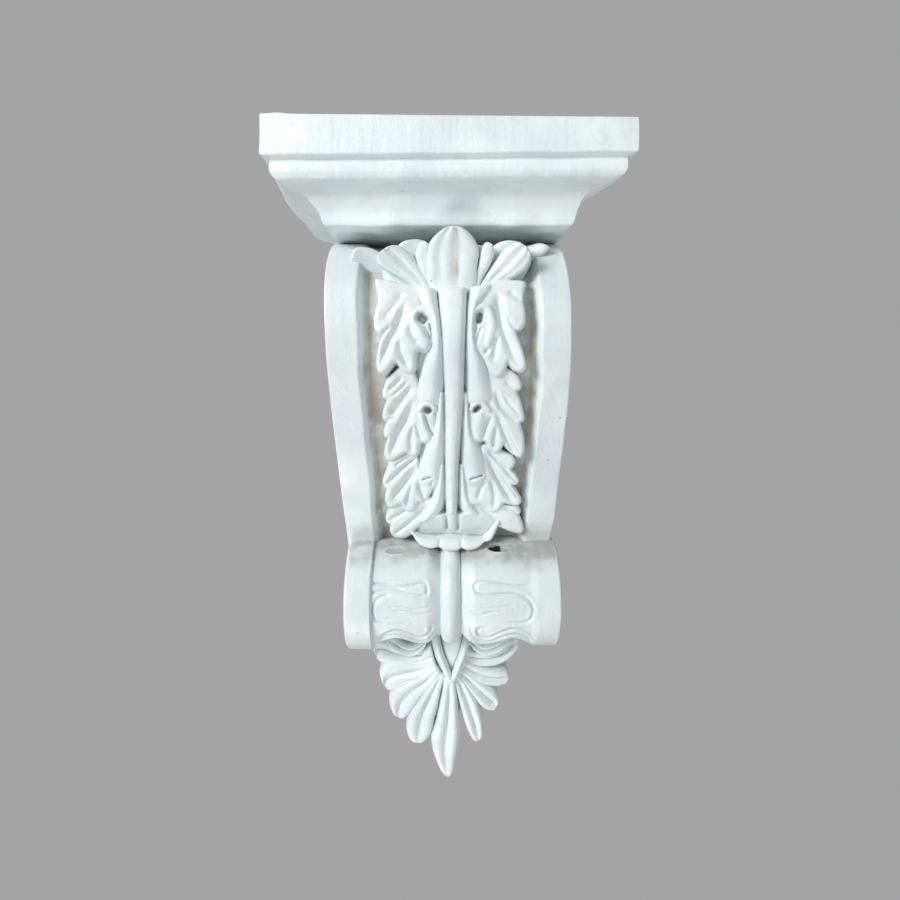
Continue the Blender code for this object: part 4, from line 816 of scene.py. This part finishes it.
# Painted shade: the roll's top darker, more so towards the right, and the sockets dark grey, going black
# where deepest.
shade_and_grime = TOP_SHADE * smooth(0.4, 1.05, turn) * smooth(3.0, 2.0, turn) * (1.0 + 0.3 * smooth(0.0, 60.0, across))
shade_and_grime = shade_and_grime + smooth(1.08, 0.8, right_gap) * (SOCKET_SHADE + HOLE_SHADE * hole)
shade_and_grime = shade_and_grime + smooth(1.08, 0.8, left_gap) * LEFT_SOCKET_SHADE
roll = cast("roll", [placed(across, out, lift)], [shade_and_grime], 6)
roll.data.set_sharp_from_angle(angle=np.radians(60))
roll.data.materials.append(painted_plaster("roll_paint", SHADED_WHITE, DUST_AND_SHADE_GREY, 0.5, 0.25))
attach(roll, "root")
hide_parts("corbel")


# Tie bar: a half-round bar cast over the middle of the roll, from under the foot lip to the head of the
# palmette, where its end is rounded. It is one with the roll's throat behind it.
BAR_HALF, BAR_HIGH, BAR_DEEP, BAR_TOP, BAR_FOOT, BAR_END = 9.6, 10.5, 5.0, 1.35, -1.10, 0.2
turn = np.linspace(BAR_TOP, BAR_FOOT, 70)[:, None]
arch = np.linspace(0.0, 2 * np.pi, 40, endpoint=False)[None, :]
end = np.sqrt(1.0 - (1.0 - np.clip((turn - BAR_FOOT) / BAR_END, 0.0, 1.0)) ** 2)
wide = BAR_HALF * (0.3 + 0.7 * end) * (1 + 0.02 * np.sin(9 * turn))
high = np.where(np.sin(arch) > 0, BAR_HIGH * (0.25 + 0.75 * end), BAR_DEEP) * np.sin(arch)
radius = ROLL_RADIUS - BAR_HIGH + high
across = ROLL_MIDDLE + wide * np.cos(arch)
out, lift = ROLL_OUT + radius * np.cos(turn), ROLL_UP + radius * np.sin(turn)
bar = cast("tie_bar", [placed(across, out, lift)], None, 6)
bar.data.materials.append(painted_plaster("bar_paint", SHADED_WHITE, DIRT_AND_SHADE, 0.3, 0.4))
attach(bar, "root")
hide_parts("corbel")


# Palmette: petals spread on the wall below the roll round a smooth tongue in a raised band, with small curls
# under the roll's ends. Every petal has a rim each side of a groove and runs back to the wall. A petal is
# its left and right edges from root to tip, and how far its root and tip stand out.
PALMETTE_ROWS, PLAIN_ROWS, PETAL_RISE, VALLEY, VALLEY_WIDE, FULL_WIDTH = 46, 30, 10.0, 4.6, 0.3, 7.0
PETALS = (
    (((-3, -290), (-5, -308), (-9, -330), (-13, -345), (-15.5, -353), (-14, -366), (-8, -381), (1, -394)),
     ((9, -290), (10.5, -308), (12, -330), (13, -345), (12.5, -358), (10.5, -371), (7.5, -385), (1, -394)),
     31.0, 31.0),
    (((-8, -286), (-20, -303), (-31, -320), (-39, -333), (-41, -346), (-38.5, -356), (-30, -361)),
     ((-1, -290), (-5, -305), (-8, -320), (-11.5, -335), (-14, -348), (-20, -358), (-30, -361)), 30.0, 23.0),
    (((-12, -278), (-28, -291), (-44, -299), (-56, -308), (-58.5, -319), (-55, -330), (-47, -335)),
     ((-5, -288), (-14, -302), (-25, -315), (-33, -327), (-37, -333), (-42, -336), (-47, -335)), 29.0, 22.5),
    (((-14, -270), (-30, -275), (-48, -276), (-62, -279), (-68, -288), (-66, -298), (-60, -305)),
     ((-9, -284), (-24, -296), (-38, -303), (-48, -308), (-54, -309), (-58, -308), (-60, -305)), 28.0, 22.0),
    (((-16, -260), (-32, -264), (-50, -260), (-66, -251), (-74, -253), (-75, -263), (-69, -276)),
     ((-13, -272), (-30, -280), (-46, -283), (-58, -283), (-64, -282), (-67, -280), (-69, -276)), 27.0,
     21.5),
    (((4, -290), (9, -306), (13.5, -324), (18, -340), (22.5, -352), (27, -359), (32, -361)),
     ((13, -286), (20, -298), (28.5, -312), (34, -326), (37, -340), (37, -353), (32, -361)), 30.0, 23.0),
    (((7, -288), (17, -300), (26, -313), (34, -323.5), (42, -328.5), (48, -328), (51, -322)),
     ((15, -278), (27, -291), (38, -299), (47, -305), (51.5, -311), (53, -317), (51, -322)), 29.0, 22.5),
    (((11, -282), (24, -295), (38, -302), (50, -304), (58, -302.5), (62, -300), (63, -295)),
     ((17, -270), (29, -280), (42, -285), (53, -286.5), (60, -288), (63, -291), (63, -295)), 28.0, 22.0),
    (((13, -274), (28, -282), (44, -284), (58, -280.5), (68, -273), (73, -265), (73, -258)),
     ((17, -260), (30, -267), (44, -267), (57, -261), (66, -252), (71, -252), (73, -258)), 27.0, 21.5),
    (((-18, -250), (-22, -262), (-32, -270), (-46, -268), (-58, -259), (-63, -250)),
     ((-14, -246), (-24, -254), (-34, -259), (-44, -256), (-52, -248), (-63, -250)), 33.0, 33.0),
    (((18, -250), (26, -263), (38, -270), (52, -267), (64, -257), (68, -248)),
     ((16, -244), (28, -254), (38, -258), (48, -254), (56, -246), (68, -248)), 33.0, 33.0),
)
FIELD = (
    ((-22, -236), (-54, -256), (-58, -284), (-42, -312), (-22, -330), (0, -345)),
    ((24, -236), (56, -256), (54, -280), (40, -306), (20, -326), (0, -345)), 24.0, 20.0,
)
TONGUE = (
    ((-8, -232), (-6.5, -248), (-4, -262), (0, -274), (4.6, -285)),
    ((17.5, -232), (16, -248), (13.5, -262), (9.5, -274), (4.6, -285)), 37.0, 35.0,
)
HEAD = (
    ((-17, -225), (-16, -245), (-14, -264), (-8, -282), (4, -298)),
    ((25, -225), (25, -245), (23, -264), (17, -282), (4, -298)), 33.0, 31.0,
)
V_BAND = (
    (-11, -234), (-10.5, -248), (-8, -261), (-3.5, -274), (4.6, -290.5), (12.5, -275), (17, -262),
    (19.8, -248), (20.5, -234),
)
FIELD_RISE, TONGUE_RISE, HEAD_RISE_OUT = 6.0, 5.0, 4.0
BAND_HALF, BAND_OUT, BAND_HIGH, BAND_DEEP = 3.7, 39.0, 7.5, 30.0
SHELL_GAP, SHELL_STEP = 0.0009, 0.00015


def wall_petal(left, right, out_from, out_to, rise, valley, rows):
    """A petal with upright sides that run back to the wall. Across its front a share goes from -1 to 1: the
    front stands higher by the rise times the square root of one less the share's fourth power, which rounds
    its edges, less a valley with a sharp floor down its middle. The depth goes from root's to tip's."""
    along = np.linspace(0.0, 1.0, rows)[:, None]
    left, right = through(left, rows), through(right, rows)
    side = np.sin(np.linspace(-np.pi / 2, np.pi / 2, 35))[None, :]
    middle, half = (left + right) / 2, (right - left) / 2
    width = np.hypot(half[:, :1], half[:, 1:])
    full = np.clip(width / FULL_WIDTH, 0.0, 1.0) ** 0.6
    bulge = np.sqrt(np.clip(1.0 - side**4, 0.0, 1.0))
    fade = smooth(0.0, 0.2, along) * smooth(0.9, 0.62, along) * full
    dip = valley * np.exp(-(np.abs(side) / VALLEY_WIDE) ** 1.2) * fade
    front = out_from + (out_to - out_from) * along + rise * full * bulge - dip
    behind = side[:, -2:0:-4]
    share = np.concatenate([side, behind], axis=1)
    out = np.concatenate([front, 0 * (front[:, :1] + behind)], axis=1)
    return placed(middle[:, :1] + half[:, :1] * share, out, middle[:, 1:] + half[:, 1:] * share)


shells = [wall_petal(*one, PETAL_RISE, VALLEY, PALMETTE_ROWS) for one in PETALS]
shells.append(wall_petal(*FIELD, FIELD_RISE, 0.0, PLAIN_ROWS))
tongue = wall_petal(*TONGUE, TONGUE_RISE, 0.0, PLAIN_ROWS)
head = wall_petal(*HEAD, HEAD_RISE_OUT, 0.0, PLAIN_ROWS)
line = through(V_BAND, 90)
way = np.gradient(line, axis=0)
way /= np.linalg.norm(way, axis=1)[:, None]
angle = np.linspace(0.0, 2 * np.pi, 28, endpoint=False)[None, :]
side, high = BAND_HALF * np.cos(angle), np.where(np.sin(angle) > 0, BAND_HIGH * np.sin(angle), -BAND_DEEP)
band_out = BAND_OUT + high + 0 * line[:, :1]
band = placed(line[:, :1] - side * way[:, 1:], band_out, line[:, 1:] + side * way[:, :1])
for order, shell in enumerate([*shells, tongue, head]):
    shell[..., 1] = np.minimum(shell[..., 1], -SHELL_GAP - SHELL_STEP * order)
palmette = cast("palmette", [*shells, band, tongue, head], None, 5)
palmette.data.materials.append(painted_plaster("palmette_paint", SHADED_WHITE, DIRT_AND_SHADE, 0.48, 0.25))
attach(palmette, "root")
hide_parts("corbel")


# Studio: the part hangs clear of everything in front of a plain grey surround, a pale matt floor lies well
# below it, and three soft lamps light it: the main one from the upper left, a weak one from below and a
# weaker one from the right. A lamp is its place, its size and its power.
FLOOR_LEVEL, FLOOR_HALF, FLOOR_MIDDLE, FLOOR_GREY = -1.45, 0.9, -0.55, 0.62
SURROUND = 0.371
LAMPS = (
    ((-1.4, -1.6, 0.85), 0.9, 41.0),
    ((-0.35, -0.6, -1.4), 1.0, 12.0),
    ((1.9, -1.5, 0.5), 1.0, 5.0),
)
world = bpy.data.worlds.new("surround")
world.use_nodes = True
world.node_tree.nodes["Background"].inputs["Color"].default_value = (SURROUND, SURROUND, SURROUND, 1.0)
bpy.context.scene.world = world
bpy.context.scene.view_settings.view_transform = "Standard"
floor_mesh = bpy.data.meshes.new("floor")
near, far = FLOOR_MIDDLE - FLOOR_HALF, FLOOR_MIDDLE + FLOOR_HALF
corners = [(-FLOOR_HALF, near, FLOOR_LEVEL), (FLOOR_HALF, near, FLOOR_LEVEL)]
corners += [(FLOOR_HALF, far, FLOOR_LEVEL), (-FLOOR_HALF, far, FLOOR_LEVEL)]
floor_mesh.from_pydata(corners, [], [(0, 1, 2, 3)])
floor = bpy.data.objects.new("floor", floor_mesh)
bpy.context.collection.objects.link(floor)
pale = bpy.data.materials.new("pale_floor")
pale.use_nodes = True
shader = pale.node_tree.nodes["Principled BSDF"]
shader.inputs["Base Color"].default_value = (FLOOR_GREY, FLOOR_GREY, FLOOR_GREY, 1.0)
shader.inputs["Roughness"].default_value = 0.9
floor_mesh.materials.append(pale)
floor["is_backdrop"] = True
for index, (place, size, power) in enumerate(LAMPS):
    lamp_data = bpy.data.lights.new(f"lamp_{index}", "AREA")
    lamp_data.shape = "DISK"
    lamp_data.size = size
    lamp_data.energy = power
    lamp = bpy.data.objects.new(f"lamp_{index}", lamp_data)
    lamp.location = place
    bpy.context.collection.objects.link(lamp)
    aim = -np.array(place)
    tilt, swing = np.arctan2(np.hypot(aim[0], aim[1]), -aim[2]), np.arctan2(aim[0], -aim[1]) + np.pi
    lamp.rotation_euler = (tilt, 0.0, swing)


# Camera: level with the middle of the body, close in front of it, where the photograph was taken from.
FOCAL_PIXELS, FRAME_PIXELS, SENSOR = 570.0, 900.0, 36.0
HORIZON_ACROSS, HORIZON_DOWN, CAMERA_PLACE = 440.5, 385.0, (-0.0062, -0.605, 0.0969)
camera_data = bpy.data.cameras.new("camera")
camera_data.sensor_width = SENSOR
camera_data.lens = SENSOR * FOCAL_PIXELS / FRAME_PIXELS
camera_data.shift_x = (FRAME_PIXELS / 2 - HORIZON_ACROSS) / FRAME_PIXELS
camera_data.shift_y = (HORIZON_DOWN - FRAME_PIXELS / 2) / FRAME_PIXELS
camera = bpy.data.objects.new("camera", camera_data)
camera.location = CAMERA_PLACE
camera.rotation_euler = (np.pi / 2, 0.0, 0.0)
bpy.context.collection.objects.link(camera)
bpy.context.scene.camera = camera

low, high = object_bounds()
